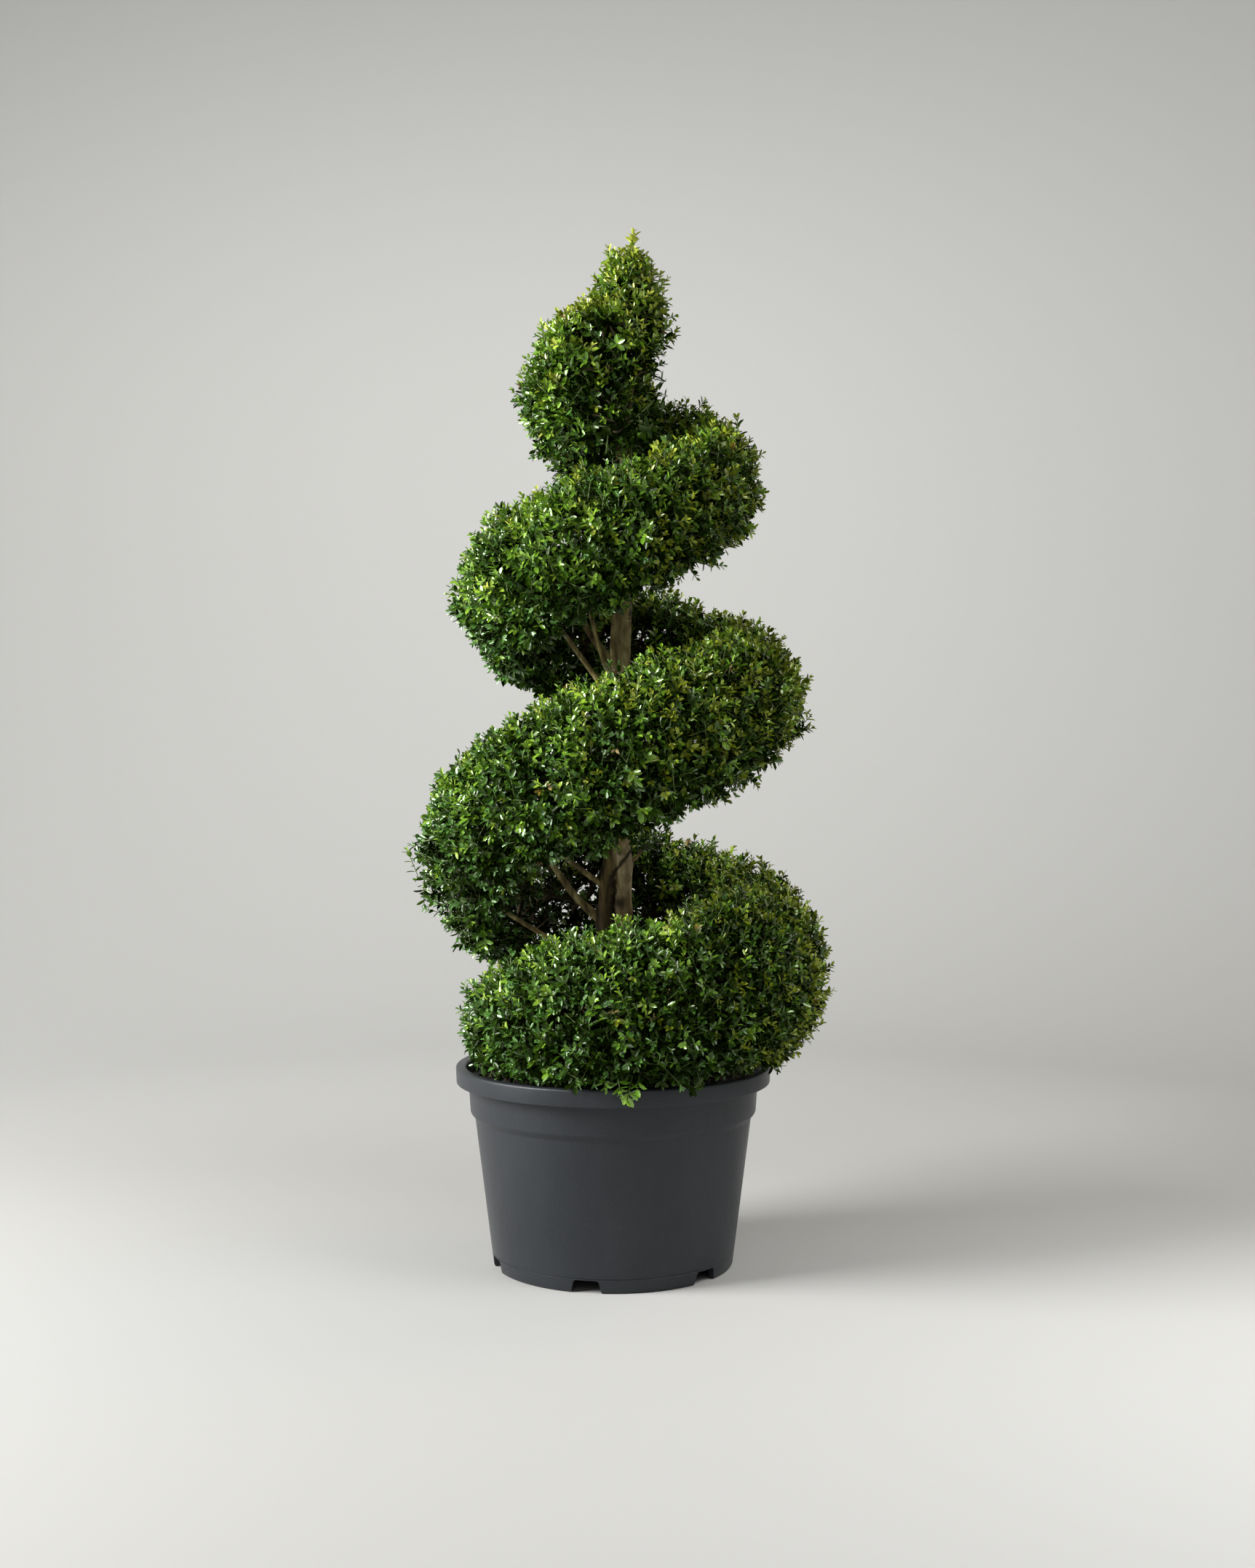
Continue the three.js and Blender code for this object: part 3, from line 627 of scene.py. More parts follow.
def headTall(upper):
    return np.where(upper, head["top"] - head["widest"], head["widest"] - head["bottom"])


def onHead(bearing, slope, inset):
    away = (head["radius"] - inset) * np.cos(slope) ** np.where(slope < 0, 1, head["pointed"])
    return aroundTrunk(away, bearing, head["widest"] + (headTall(slope >= 0) - inset) * np.sin(slope))


# How deep points lie in a stretch of the spiral, as a share: 1 is at its clipped face, 0 at its middle.
def depthInSpiral(points, first, last):
    x = points[:, 0] - leanAt(points[:, 2])
    away = np.hypot(x, points[:, 1])
    middle = (first + last) / 2
    bearing = (np.arctan2(points[:, 1], x) - bearingOf(middle)) / tau
    turn = middle + bearing - np.round(bearing)
    radius, width, height, half = sectionAt(turn)
    up = (points[:, 2] - height) / half
    share = np.hypot(np.abs((away - radius) / width) ** (1 / narrowing(turn, up)), up)
    return np.where((turn < first) | (turn > last), 9, share)


def depthInHead(points):
    away = np.hypot(points[:, 0] - leanAt(points[:, 2]), points[:, 1])
    up = points[:, 2] - head["widest"]
    return np.hypot(away / head["radius"], up / headTall(up >= 0))


def swellAt(points):
    x, y, z = points[..., 0], points[..., 1], points[..., 2]
    broad = np.sin(x * 43 + 1.3) * np.sin(z * 37 + 0.4) + np.sin(y * 41 + 2.1) * np.cos(z * 52)
    small = np.sin(x * 97 + z * 71) * np.sin(y * 103 - z * 64 + 0.7)
    return clip["lump"] * (0.45 * broad + 0.4 * small)


# Limbs with bark

trunk = {
    "foot": 0.2623,
    "sunk": 0.004,
    "tip": 1.402,
    "steps": 40,
    "heights": [0.262, 0.550, 0.605, 0.700, 0.900, 1.402],
    "radii": [0.0155, 0.0130, 0.0112, 0.0122, 0.0130, 0.0045],  # of the main stem at these heights
    "aside": 0.0085,  # how far the main stem's foot stands to the right
    "asideFades": (0.600, 0.680),
    "flare": 0.015,
    "flareHeight": 0.020,
    "wander": 0.0042,
    "wanderScales": (9, 14),  # along the main stem and the side stem
    "settle": 6,  # steps until the main stem wanders fully
    "rowStep": 0.0028,
    "sides": 60,
    "grain": 0.0009,  # depth of the bark's furrows
    "collar": (0.0035, 0.013),  # height and spread of the swelling where a bough leaves
    "collarAway": 0.016,
    "swellings": [((0.026, -0.002, 0.572), 0.0035, 0.013), ((-0.022, -0.006, 0.548), 0.0030, 0.012),
                  ((-0.002, -0.016, 0.600), 0.0020, 0.010), ((0.030, -0.004, 0.500), 0.0025, 0.014)],
}
sideStem = {"radius": 0.0126, "tipRadius": 0.0082, "top": 0.645, "bearing": 200,
            "away": [0.019, 0.0175, 0.0155, 0.004], "wanders": 0.8, "sides": 44}
bough = {
    "baseRadius": 0.0085,
    "tipRadius": 0.0042,
    "topShare": 0.7,
    "rise": 0.104,
    "lowest": 0.296,
    "sunk": 0.004,
    "past": 0.012,
    "above": 0.004,
    "sag": 0.06,
    "collar": 0.7,  # how much thicker a bough is where it leaves the trunk
    "collarReach": 0.022,
    "stemTip": 0.7,  # how thick it still is in the middle of its mass, beside its tip radius
    "stemLow": (0.55, 0.006),  # how far past the tip the stem is bent, and how much higher
    "slims": 0.6,
    "sides": 22,
    "rowStep": 0.0035,
    "grain": 0.0005,
}


barkRelief = {
    "swell": 0.07,  # how much a limb thickens and thins
    "swellScale": 1.4,
    "swellLength": 26,
    "furrow": 2.4,  # depths, in parts of a limb's grain
    "furrowScale": (105, 105, 13),
    "check": 0.5,
    "checkScale": 330,
    "raised": 0.75,
}


# A limb is a grid wrapped round a line: the long way follows the line, the short way goes round it.
def addLimb(bm, line, radiusAt, sides, rowStep, grain, seed, bumps=()):
    r = barkRelief
    total = sum((b - a).length for a, b in zip(line, line[1:]))
    rows = max(6, round(total / rowStep))
    places = resample(line, rows)
    made = bmesh.ops.create_grid(bm, x_segments=rows, y_segments=sides, size=1)["verts"]
    across = places[1] - places[0]
    across = across.orthogonal().normalized()
    crosswise = []
    for k, place in enumerate(places):
        heading = (places[min(k + 1, rows)] - places[max(k - 1, 0)]).normalized()
        across = (across - heading * across.dot(heading)).normalized()
        crosswise.append((across.copy(), heading.cross(across)))
    shift = Vector((seed * 3.17, seed * 1.71, 0))
    for vert in made:
        k = round((vert.co.x + 1) / 2 * rows)
        angle = round((vert.co.y + 1) / 2 * sides) % sides / sides * tau
        out = crosswise[k][0] * math.cos(angle) + crosswise[k][1] * math.sin(angle)
        share = k / rows
        if k in (0, rows):
            vert.co = places[k]
            continue
        radius = radiusAt(share)
        spot = places[k] + out * radius
        onward = Vector((0, 0, share * total * r["swellLength"]))
        radius *= 1 + r["swell"] * noise.noise(out * r["swellScale"] + shift + onward)
        furrow = noise.noise(spot * Vector(r["furrowScale"]) + shift)
        check = noise.noise(spot * r["checkScale"] + shift)
        radius += grain * (r["raised"] - r["furrow"] * abs(furrow) + r["check"] * check)
        for centre, height, spread in bumps:
            radius += height * math.exp(-((spot - centre).length / spread) ** 2)
        vert.co = places[k] + out * radius
    bmesh.ops.remove_doubles(bm, verts=made, dist=1e-6)


def resample(line, rows):
    lengths = np.cumsum([0] + [(b - a).length for a, b in zip(line, line[1:])])
    wanted = np.linspace(0, lengths[-1], rows + 1)
    coordinates = np.array([tuple(p) for p in line])
    spread = [np.interp(wanted, lengths, coordinates[:, k]) for k in range(3)]
    return [Vector(p) for p in np.stack(spread, -1)]


def curved(points, steps=24):
    corners = [2 * points[0] - points[1]] + list(points) + [2 * points[-1] - points[-2]]
    line = []
    for k in range(1, len(corners) - 2):
        a, b, c, d = corners[k - 1:k + 3]
        for step in range(steps):
            u = step / steps
            line.append(0.5 * (2 * b + (c - a) * u + (2 * a - 5 * b + 4 * c - d) * u ** 2
                               + (3 * b - a - 3 * c + d) * u ** 3))
    return line + [points[-1]]


def spot(away, bearing, height):
    return Vector(aroundTrunk(away, bearing, height))


def boughLine(turn):
    middle, width, height, _ = [float(v) for v in sectionAt(turn)]
    bearing = bearingOf(turn)
    tipHeight = height + bough["above"]
    footHeight = max(tipHeight - bough["rise"], bough["lowest"])
    foot = spot(bough["sunk"], bearing, footHeight)
    tip = spot(middle - width + bough["past"], bearing, tipHeight)
    sagging = foot.lerp(tip, 0.5) - Vector((0, 0, bough["sag"] * (tip - foot).length))
    return [foot, sagging, tip]


def labelOf(turn):
    quarter = round(turn * 4)
    return f"{quarter // 4 + 1}_{sideNames[(quarter + 4) % 4]}"


def massMiddles():
    count = round((masses["last"] - masses["first"]) / masses["turn"])
    return [masses["first"] + masses["turn"] * (k + 0.5) for k in range(count)]


def buildTrunk(material):
    t = trunk
    foot = t["foot"] - t["sunk"]
    slow, quick = t["wanderScales"]
    line = []
    for k in range(t["steps"] + 1):
        height = foot + (t["tip"] - foot) * k / t["steps"]
        sway = noise.noise_vector(Vector((0.3, 7.1, height * slow))) * t["wander"] * min(1, k / t["settle"])
        aside = t["aside"] * (1 - smooth(height, *t["asideFades"]))
        line.append(spot(0, 0, height) + Vector((sway.x + aside, sway.y, 0)))
    collars = []
    for turn in massMiddles():
        root, bend, _ = boughLine(turn)
        place = root + (bend - root).normalized() * t["collarAway"]
        collars.append((place, *t["collar"]))

    def flareAt(share, top):
        return t["flare"] * math.exp(-(top - foot) * share / t["flareHeight"])

    bm = bmesh.new()
    thickness = lambda u: np.interp(foot + (t["tip"] - foot) * u, t["heights"], t["radii"])
    mainRadius = lambda u: thickness(u) + flareAt(u, t["tip"])
    collars += [(Vector(place), height, spread) for place, height, spread in t["swellings"]]
    addLimb(bm, line, mainRadius, t["sides"], t["rowStep"], t["grain"], 1, collars)
    main = meshFrom(bm, "mainStem", 60)
    s = sideStem
    bearing = math.radians(s["bearing"])
    places = [spot(away, bearing, foot + (s["top"] - foot) * k / 3) for k, away in enumerate(s["away"])]
    sideRadius = lambda u: s["radius"] + (s["tipRadius"] - s["radius"]) * u * u + flareAt(u, s["top"]) / 2
    bm = bmesh.new()
    sideLine = curved(places)
    for place in sideLine:
        place += noise.noise_vector(Vector((5.2, 1.3, place.z * quick))) * t["wander"] * s["wanders"]
    addLimb(bm, sideLine, sideRadius, s["sides"], t["rowStep"], t["grain"], 2, collars)
    side = meshFrom(bm, "sideStem", 60)
    mesh = combined(main, side, "UNION")
    addPiece("trunkBark", mesh, [material], ["trunk"])


# Thinner limbs beside the boughs, seen in the gaps between the coils: the mass that each one feeds, its
# radius, the height of its foot on the trunk, then its bend and its tip: how far from the trunk, the bearing
# and the height.
limbs = [
    ("2_left", 0.0050, 0.392, (0.070, 185, 0.448), (0.165, 178, 0.505)),
    ("2_left", 0.0046, 0.530, (0.042, 196, 0.556), (0.125, 205, 0.612)),
    ("1_back", 0.0040, 0.560, (0.028, 0, 0.580), (0.044, 16, 0.600)),
    ("3_left", 0.0045, 0.792, (0.042, 186, 0.846), (0.120, 180, 0.948)),
    ("3_front", 0.0040, 0.812, (0.030, 205, 0.868), (0.080, 222, 0.975)),
    ("3_front", 0.0034, 0.822, (0.026, 240, 0.875), (0.062, 262, 0.985)),
]


limbShape = {"sunk": 0.002, "collar": 0.7, "collarShare": 0.12, "slims": 0.45, "sides": 16}


# Each bough carries on as the stem of its mass.
def buildBoughs(material):
    for number, turn in enumerate(massMiddles()):
        share = 1 + (bough["topShare"] - 1) * min(max(turn / masses["last"], 0), 1)
        line = boughLine(turn)
        middle, _, height, _ = [float(v) for v in sectionAt(turn)]
        heart = spot(middle, bearingOf(turn), height)
        bm = bmesh.new()
        radii = (bough["baseRadius"] * share, bough["tipRadius"] * share)
        onward, higher = bough["stemLow"]
        whole = curved(line + [line[-1].lerp(heart, onward) + Vector((0, 0, higher)), heart])
        total = sum((b - a).length for a, b in zip(whole, whole[1:]))

        def radiusAt(u):
            collar = bough["collar"] * math.exp(-(u * total) ** 2 / bough["collarReach"] ** 2)
            return (radii[0] + (radii[1] * bough["stemTip"] - radii[0]) * u ** bough["slims"]) * (1 + collar)

        addLimb(bm, whole, radiusAt, bough["sides"], bough["rowStep"], bough["grain"], 5 + number)
        for fed, thick, footHeight, (away, side, rise), (far, farSide, high) in limbs:
            if fed == labelOf(turn):
                foot = spot(limbShape["sunk"], math.radians(side), footHeight)
                bend = spot(away, math.radians(side), rise)
                tip = spot(far, math.radians(farSide), high)
                collar = lambda u: limbShape["collar"] * math.exp(-(u / limbShape["collarShare"]) ** 2)
                slimming = lambda u: thick * (1 + collar(u) - limbShape["slims"] * u)
                line = curved([foot, bend, tip])
                steps = (limbShape["sides"], bough["rowStep"])
                addLimb(bm, line, slimming, *steps, bough["grain"], 40 + number)
        addPiece("boughBark_" + labelOf(turn), meshFrom(bm, "bough", 60), [material],
                 ["bough_" + labelOf(turn)])


# Shoots and leaves

growth = {
    "faceOpen": (-0.88, -0.5),  # the side towards the trunk is left open between these cosines
    "faceOpenShare": 0.40,
    "faceShut": (0.05, 0.075),  # but it closes where the gap round the trunk is narrower than this
    "underside": (0.35, 0.85),  # the underside, between these sines, has fewer shoots
    "undersideShare": 0.85,
    "gaps": (0.085, 0.0305, 0.0131),  # spacing of the branches, twigs and shoots over the clipped face
    "insets": (0.080, 0.046, 0.009),  # how deep under it they end
    "room": 0.62,  # but no deeper than this share of the section
    "headGaps": (0.0595, 0.0305, 0.0131),
    "headInsets": (0.040, 0.026, 0.009),
    "buried": 0.86,  # a shoot that lies deeper than this in the next form is left out
    "branchBow": 0.008,
    "twigBow": 0.005,
    "shootLength": (0.030, 0.050),
    "shootSize": (0.86, 1.16),
    "upward": 0.45,
    "headUpward": 0.6,
    "stray": 0.36,
    "shift": 0.0025,
    "leastOut": 0.45,  # no shoot lies flatter on the clipped face than this
    "ragged": 0.0022,
    "crease": 0.019,  # how deep the face sinks between one twig's shoots and the next twig's
    "creaseStarts": 0.3,
    "fan": 0.55,  # how far a twig's outer shoots lean away from its middle one
    "tuftRise": 0.0048,
    "tuftTint": 0.3,
    "tuftSpan": 0.6,
    "proudShare": 0.05,  # young shoots that stand proud of the face, but not on the underside
    "proudOver": -0.25,
    "proud": (0.004, 0.010),
    "proudSize": 0.88,
    "overSoil": 0.008,  # the lowest that a shoot ends over the soil and over the rim
    "overRim": 0.005,
    "rimClear": 0.006,
    "startOverSoil": 0.006,
    "fallowShare": 0.02,  # of the leaves along the twigs
    "headSlim": 0.5,
    "branchRadii": (0.0042, 0.0036, 0.003, 0.0026, 0.002),
    "twigRadii": (0.0021, 0.0018, 0.0015, 0.0013),
    "shootRadii": (0.0013, 0.0011, 0.0007),
    "spineRadii": (0.0032, 0.0045, 0.0052, 0.0056, 0.0052, 0.0045, 0.0032),
}
# Where light comes through: turns, angles round the section, and the share of shoots that grow there.
thinPlaces = [
    ((0.76, 1.08), (-3.2, 0.4), 0.50),
    ((0.76, 1.08), (2.4, 3.2), 0.50),
    ((1.36, 1.66), (-2.2, -0.5), 0.52),
    ((2.36, 2.66), (-2.2, -0.7), 0.72),
]
leaf = {
    "fold": 0.28,
    "curl": 0.16,
    "width": (0.41, 0.53),
    "missing": 0.05,
    "rise": (1.7, 0.45),  # how far the first pair leans along the shoot, and how much less each next
    "riseSpread": (0.75, 1.3),
    "grown": (0.55, 0.2),  # the size of the first pair, and how much larger each next
    "down": (0.12, 0.85, 0.05),  # where the first pair stands, and how the spacing widens from pair to pair
    "lowest": 0.92,
    "turnStray": 0.22,
    "aimStray": 0.13,
    "faceStray": 0.28,
    "faceUp": 0.35,
}
# How the leaves stand on a shoot, on a twig inside the crown, and on a single listed shoot. At each
# age, counted in pairs from the tip, the tint is the next older one: darker, partly as older leaves and
# partly as painted shade deeper in the crown.
shootLook = {"pairs": 6, "gap": 0.0060, "length": (0.0110, 0.0164), "rise": 0.35, "ages": (2, 4),
             "outline": [(0.0, 0.0), (0.30, 0.45), (0.74, 0.43), (1.0, 0.0)]}
innerLook = {"pairs": 7, "gap": 0.008, "length": (0.013, 0.020), "rise": 0.35, "ages": (2, 4),
             "outline": [(0.0, 0.0), (0.55, 0.50), (1.0, 0.0)]}
sprigLook = {**shootLook, "gap": shootLook["gap"] * 0.68, "ages": (5,)}


def unit(vectors):
    return vectors / np.maximum(np.linalg.norm(vectors, axis=-1, keepdims=True), 1e-9)


# Two directions across each run, square to it and to each other.
def acrossRuns(runs):
    helper = np.where(np.abs(runs[..., 2:]) > 0.8, [1.0, 0, 0], [0, 0, 1.0])
    across = unit(np.cross(runs, helper))
    return across, np.cross(runs, across)


# Places spread over a face: how many its weighted area holds, and where each one lies along the samples.
def spreadAlong(samples, weight, gap, least=0):
    step = samples[1] - samples[0]
    share = np.concatenate([[0], np.cumsum(weight[1:] + weight[:-1]) / 2]) * step
    count = max(least, round(share[-1] / gap ** 2))
    k = np.arange(count)
    return k, np.interp((k + 0.5) / count * share[-1], share, samples)


# Places on a stretch of the spiral: the angle follows the count and the turn the golden share, as in the
# solids, with the angles spread so that the clipped face is covered evenly.
def placesOnSpiral(first, last, gap):
    g = growth
    angles = np.linspace(-math.pi, math.pi, 241)
    turns = np.linspace(first, last, 9)
    grid = onSpiral(turns[:, None], angles[None, :], 0.0)
    aside = np.gradient(grid, angles, axis=1)
    onward = np.gradient(grid, turns, axis=0)
    area = np.linalg.norm(np.cross(aside, onward), axis=-1).mean(0) * (last - first)
    shut = smooth(along("inner", (first + last) / 2), *g["faceShut"])
    towardsBack = 1 - max(0, math.sin(math.pi * (first + last)))
    faceShare = 1 - (1 - g["faceOpenShare"]) * shut * towardsBack
    weight = faceShare + (1 - faceShare) * smooth(np.cos(angles), *g["faceOpen"])
    weight *= 1 - (1 - g["undersideShare"]) * smooth(-np.sin(angles), *g["underside"])
    k, angle = spreadAlong(angles, area * weight, gap, 3)
    return first + (last - first) * ((0.5 + k * golden) % 1), angle


def placesOnHead(gap):
    slopes = np.linspace(-1.2, 1.5, 181)
    away = head["radius"] * np.cos(slopes) ** np.where(slopes < 0, 1, head["pointed"])
    area = away * tau * np.hypot(headTall(slopes >= 0) * np.cos(slopes), head["radius"] * np.sin(slopes))
    k, slope = spreadAlong(slopes, area, gap)
    return k * golden * tau, slope


def spiralPoints(turn, angle, inset):
    step = 1e-3
    place = onSpiral(turn, angle, inset)
    aside = onSpiral(turn, angle + step, inset) - place
    onward = onSpiral(turn + step, angle, inset) - place
    out = unit(np.cross(aside, onward))
    middle, _, height, _ = sectionAt(turn)
    heart = aroundTrunk(middle, bearingOf(turn), height)
    out *= np.sign(np.sum(out * (place - heart), -1, keepdims=True))
    return place, out


def headPoints(bearing, slope, inset):
    step = 1e-3
    place = onHead(bearing, slope, inset)
    aside = onHead(bearing + step, slope, inset) - place
    return place, unit(np.cross(aside, onHead(bearing, slope + step, inset) - place))


def shareGrown(turn, angle):
    share = np.ones(len(turn))
    for (first, last), (low, high), grown in thinPlaces:
        share[(turn > first) & (turn < last) & (angle > low) & (angle < high)] = grown
    return share


def spineOf(first, last):
    middles = np.linspace(first, last, 7)
    radius, _, height, _ = sectionAt(middles)
    return aroundTrunk(radius, bearingOf(middles), height)


def headSpine():
    low, high = head["spineEnds"]
    heights = np.linspace(head["bottom"] + low, trunk["tip"] - high, head["spinePlaces"])
    return aroundTrunk(head["spineAway"], np.arange(head["spinePlaces"]) * head["spineTurn"], heights)


# Tapering tubes along many short lines at once: their points, groups of faces, and the slot of each face.
def tubes(paths, radii, sides, slot):
    count, rows, _ = paths.shape
    across, other = acrossRuns(unit(np.gradient(paths, axis=1)))
    angles = np.arange(sides) / sides * tau
    ring = np.cos(angles)[:, None] * across[:, :, None, :] + np.sin(angles)[:, None] * other[:, :, None, :]
    points = paths[:, :, None, :] + np.array(radii)[:, None, None] * ring
    start = np.arange(count)[:, None, None] * rows * sides
    base = start + np.arange(rows - 1)[None, :, None] * sides
    k = np.arange(sides)
    after = (k + 1) % sides
    quads = np.stack([base + k, base + after, base + after + sides, base + k + sides], -1).reshape(-1, 4)
    groups = [quads, start[:, 0] + k[::-1], start[:, 0] + (rows - 1) * sides + k]
    return points.reshape(-1, 3), groups, np.full(sum(map(len, groups)), slot)


# Leaves of a few faces, folded along the midrib: their points, and the faces of both halves.
def leaves(place, aim, facing, length, width, outline):
    side = unit(np.cross(facing, aim))
    up = np.cross(aim, side)
    half = len(outline)
    shape = np.array(outline + [(x, -y) for x, y in reversed(outline[1:-1])])
    x = shape[:, 0][None, :, None] * length[:, None, None]
    y = shape[:, 1][None, :, None] * width[:, None, None]
    fold = leaf["fold"] * np.abs(y)
    z = fold - leaf["curl"] * (shape[:, 0] ** 2)[None, :, None] * length[:, None, None]
    points = place[:, None, :] + x * aim[:, None, :] + y * side[:, None, :] + z * up[:, None, :]
    start = np.arange(len(place))[:, None] * len(shape)
    right = start + np.arange(half)[::-1]
    left = start + np.concatenate([np.arange(half - 1, len(shape)), [0]])[::-1]
    return points.reshape(-1, 3), np.concatenate([right, left])


# One mesh of many parts, each of them its points, its groups of faces and the slot of each face.
def meshOfParts(name, parts):
    groups, start = [], 0
    for points, faces, _ in parts:
        groups += [group + start for group in faces]
        start += len(points)
    points, _, slots = zip(*parts)
    corners = np.concatenate([group.ravel() for group in groups])
    sizes = np.concatenate([np.full(len(group), group.shape[1]) for group in groups])
    mesh = bpy.data.meshes.new(name)
    mesh.vertices.add(start)
    mesh.vertices.foreach_set("co", np.concatenate(points).astype(np.float32).ravel())
    mesh.loops.add(len(corners))
    mesh.loops.foreach_set("vertex_index", corners.astype(np.int32))
    mesh.polygons.add(len(sizes))
    mesh.polygons.foreach_set("loop_start", (np.cumsum(sizes) - sizes).astype(np.int32))
    mesh.polygons.foreach_set("material_index", np.concatenate(slots).astype(np.int32))
    mesh.update(calc_edges=True)
    mesh.validate()
    return mesh


def nearest(points, parents):
    return np.argmin(((points[:, None, :] - parents[None, :, :]) ** 2).sum(-1), axis=1)


def bowed(start, end, bow, rows):
    u = np.linspace(0, 1, rows)[None, :, None]
    return start[:, None, :] * (1 - u) + end[:, None, :] * u + bow[:, None, :] * (4 * u * (1 - u))


# How light and how warm the tint of a shoot is: by its age and chance, and by painted light and shade where
# marked.
dealing = {
    "light": 0.08,
    "upward": 0.45,  # painted light from above: lighter where the face looks up
    "spread": 0.55,
    "young": 0.9,
    "top": (1.22, 1.42),  # lighter and warmer from here up to the tip
    "topLight": 0.9,
    "topWarmth": 0.7,
    "climb": 0.55,  # lighter the higher it is over the middle: partly newer growth, partly painted light on the upper coils
    "middle": 0.80,
    "low": 0.30,  # painted shade: darker and cooler at the front of the lowest coil, under the coils above
    "lowFades": (0.44, 0.58),
    "lowFront": (0.06, 0.18),
    "right": 3.2,  # warmer to the right, cooler to the left: partly the leaves' own tint, partly painted warm light from the right and cool light from the left
    "warmEnds": (-0.6, 0.9),
    "tuftWarmth": 0.5,
    "warmSpread": 0.35,
}
# The tint that goes with each range of light, of warmth and of chance, the later rows over the earlier ones.
tintRules = [
    ("deep", {"light": (-9, -0.18)}),
    ("shade", {"light": (-9, -0.55)}),
    ("grass", {"light": (0.28, 9)}),
    ("fresh", {"light": (0.92, 9)}),
    ("yellow", {"light": (1.50, 9)}),
    ("blue", {"light": (-9, 0.3), "warmth": (-9, -0.35)}),
    ("olive", {"light": (-9, 0.45), "warmth": (0.45, 9)}),
    ("golden", {"light": (0.45, 1.2), "warmth": (0.45, 9)}),
    ("bronze", {"chance": (-1, 0.003)}),
    ("fallow", {"chance": (0.003, 0.006)}),
]


def dealTints(tips, out, young, patch, rng):
    d = dealing
    x, y, z = tips.T
    # Painted shade at the lowest coil's front, and painted light where the face looks up, higher up and to
    # the right, go into light and warmth.
    top = smooth(z, *d["top"])
    low = d["low"] * (1 - smooth(z, *d["lowFades"])) * smooth(-y, *d["lowFront"])
    light = d["upward"] * out[:, 2] + d["light"] + patch + rng.normal(0, d["spread"], len(tips))
    light += d["young"] * young + d["topLight"] * top + d["climb"] * (z - d["middle"]) - low
    warmth = np.clip(d["right"] * x + d["topWarmth"] * top, *d["warmEnds"]) + d["tuftWarmth"] * patch
    warmth += rng.normal(0, d["warmSpread"], len(tips)) - low
    found = {"light": light, "warmth": warmth, "chance": rng.random(len(tips))}
    dealt = np.full(len(tips), tintNumber["green"])
    for name, ranges in tintRules:
        fits = [(found[kind] > least) & (found[kind] < most) for kind, (least, most) in ranges.items()]
        dealt[np.all(fits, axis=0)] = tintNumber[name]
    return dealt


# Opposite pairs of leaves down each shoot from its tip, each pair crossing the one above it.
def leafPairs(paths, heading, size, tint, look, rng):
    tip = paths[:, -1]
    count = len(tip)
    across, other = acrossRuns(heading)
    first = rng.uniform(0, tau, count)
    reach = np.linalg.norm(tip - paths[:, 0], axis=-1)
    starts, close, widens = leaf["down"]
    parts = []
    for j in range(look["pairs"]):
        down = look["gap"] * (j + starts) * (close + widens * j)
        down = np.minimum(down, leaf["lowest"] * reach)
        base = pointAlong(paths, 1 - down / reach)
        rise = max(look["rise"], leaf["rise"][0] - leaf["rise"][1] * j)
        grown = min(1, leaf["grown"][0] + leaf["grown"][1] * j)
        # Darker from these pairs down: painted shade deeper in the crown, partly older leaves.
        if j in look["ages"]:
            tint = olderTint[tint]
        for half in (0, math.pi):
            angle = first + j * math.pi / 2 + half + rng.normal(0, leaf["turnStray"], count)
            side = np.cos(angle)[:, None] * across + np.sin(angle)[:, None] * other
            onward = heading * (rise * rng.uniform(*leaf["riseSpread"], count))[:, None]
            aim = unit(side + onward + rng.normal(0, leaf["aimStray"], (count, 3)))
            facing = heading + [0, 0, leaf["faceUp"]] + rng.normal(0, leaf["faceStray"], (count, 3))
            length = size * grown * rng.uniform(*look["length"], count)
            width = length * rng.uniform(*leaf["width"], count)
            keep = rng.random(count) > leaf["missing"]
            parts.append([values[keep] for values in (base, aim, facing, length, width, tint)])
    columns = [np.concatenate(column) for column in zip(*parts)]
    place, aim, _, length, _, _ = columns
    free = clearOfPot(np.stack([place, place + aim * length[:, None]])).all(0)
    *laid, tint = [column[free] for column in columns]
    points, faces = leaves(*laid, look["outline"])
    return points, [faces], np.concatenate([tint, tint])


clear = {"inside": 0.007, "rim": 0.002, "soil": 0.003}


# Whether points are clear of the soil and of the pot's wall and rim.
def clearOfPot(points):
    away, z = np.hypot(points[..., 0], points[..., 1]), points[..., 2]
    within = (away > pot["bandTop"] - clear["inside"]) & (away < pot["rimRadius"] + clear["rim"])
    onRim = within & (z < pot["height"] + clear["rim"])
    return ~(onRim | (away < pot["bandTop"]) & (z < soil["top"] + clear["soil"]))


def pointAlong(paths, share):
    rows = paths.shape[1] - 1
    place = np.clip(share * rows, 0, rows - 1e-6)
    k = np.floor(place).astype(int)
    u = (place - k)[:, None]
    n = np.arange(len(paths))
    return paths[n, k] * (1 - u) + paths[n, k + 1] * u


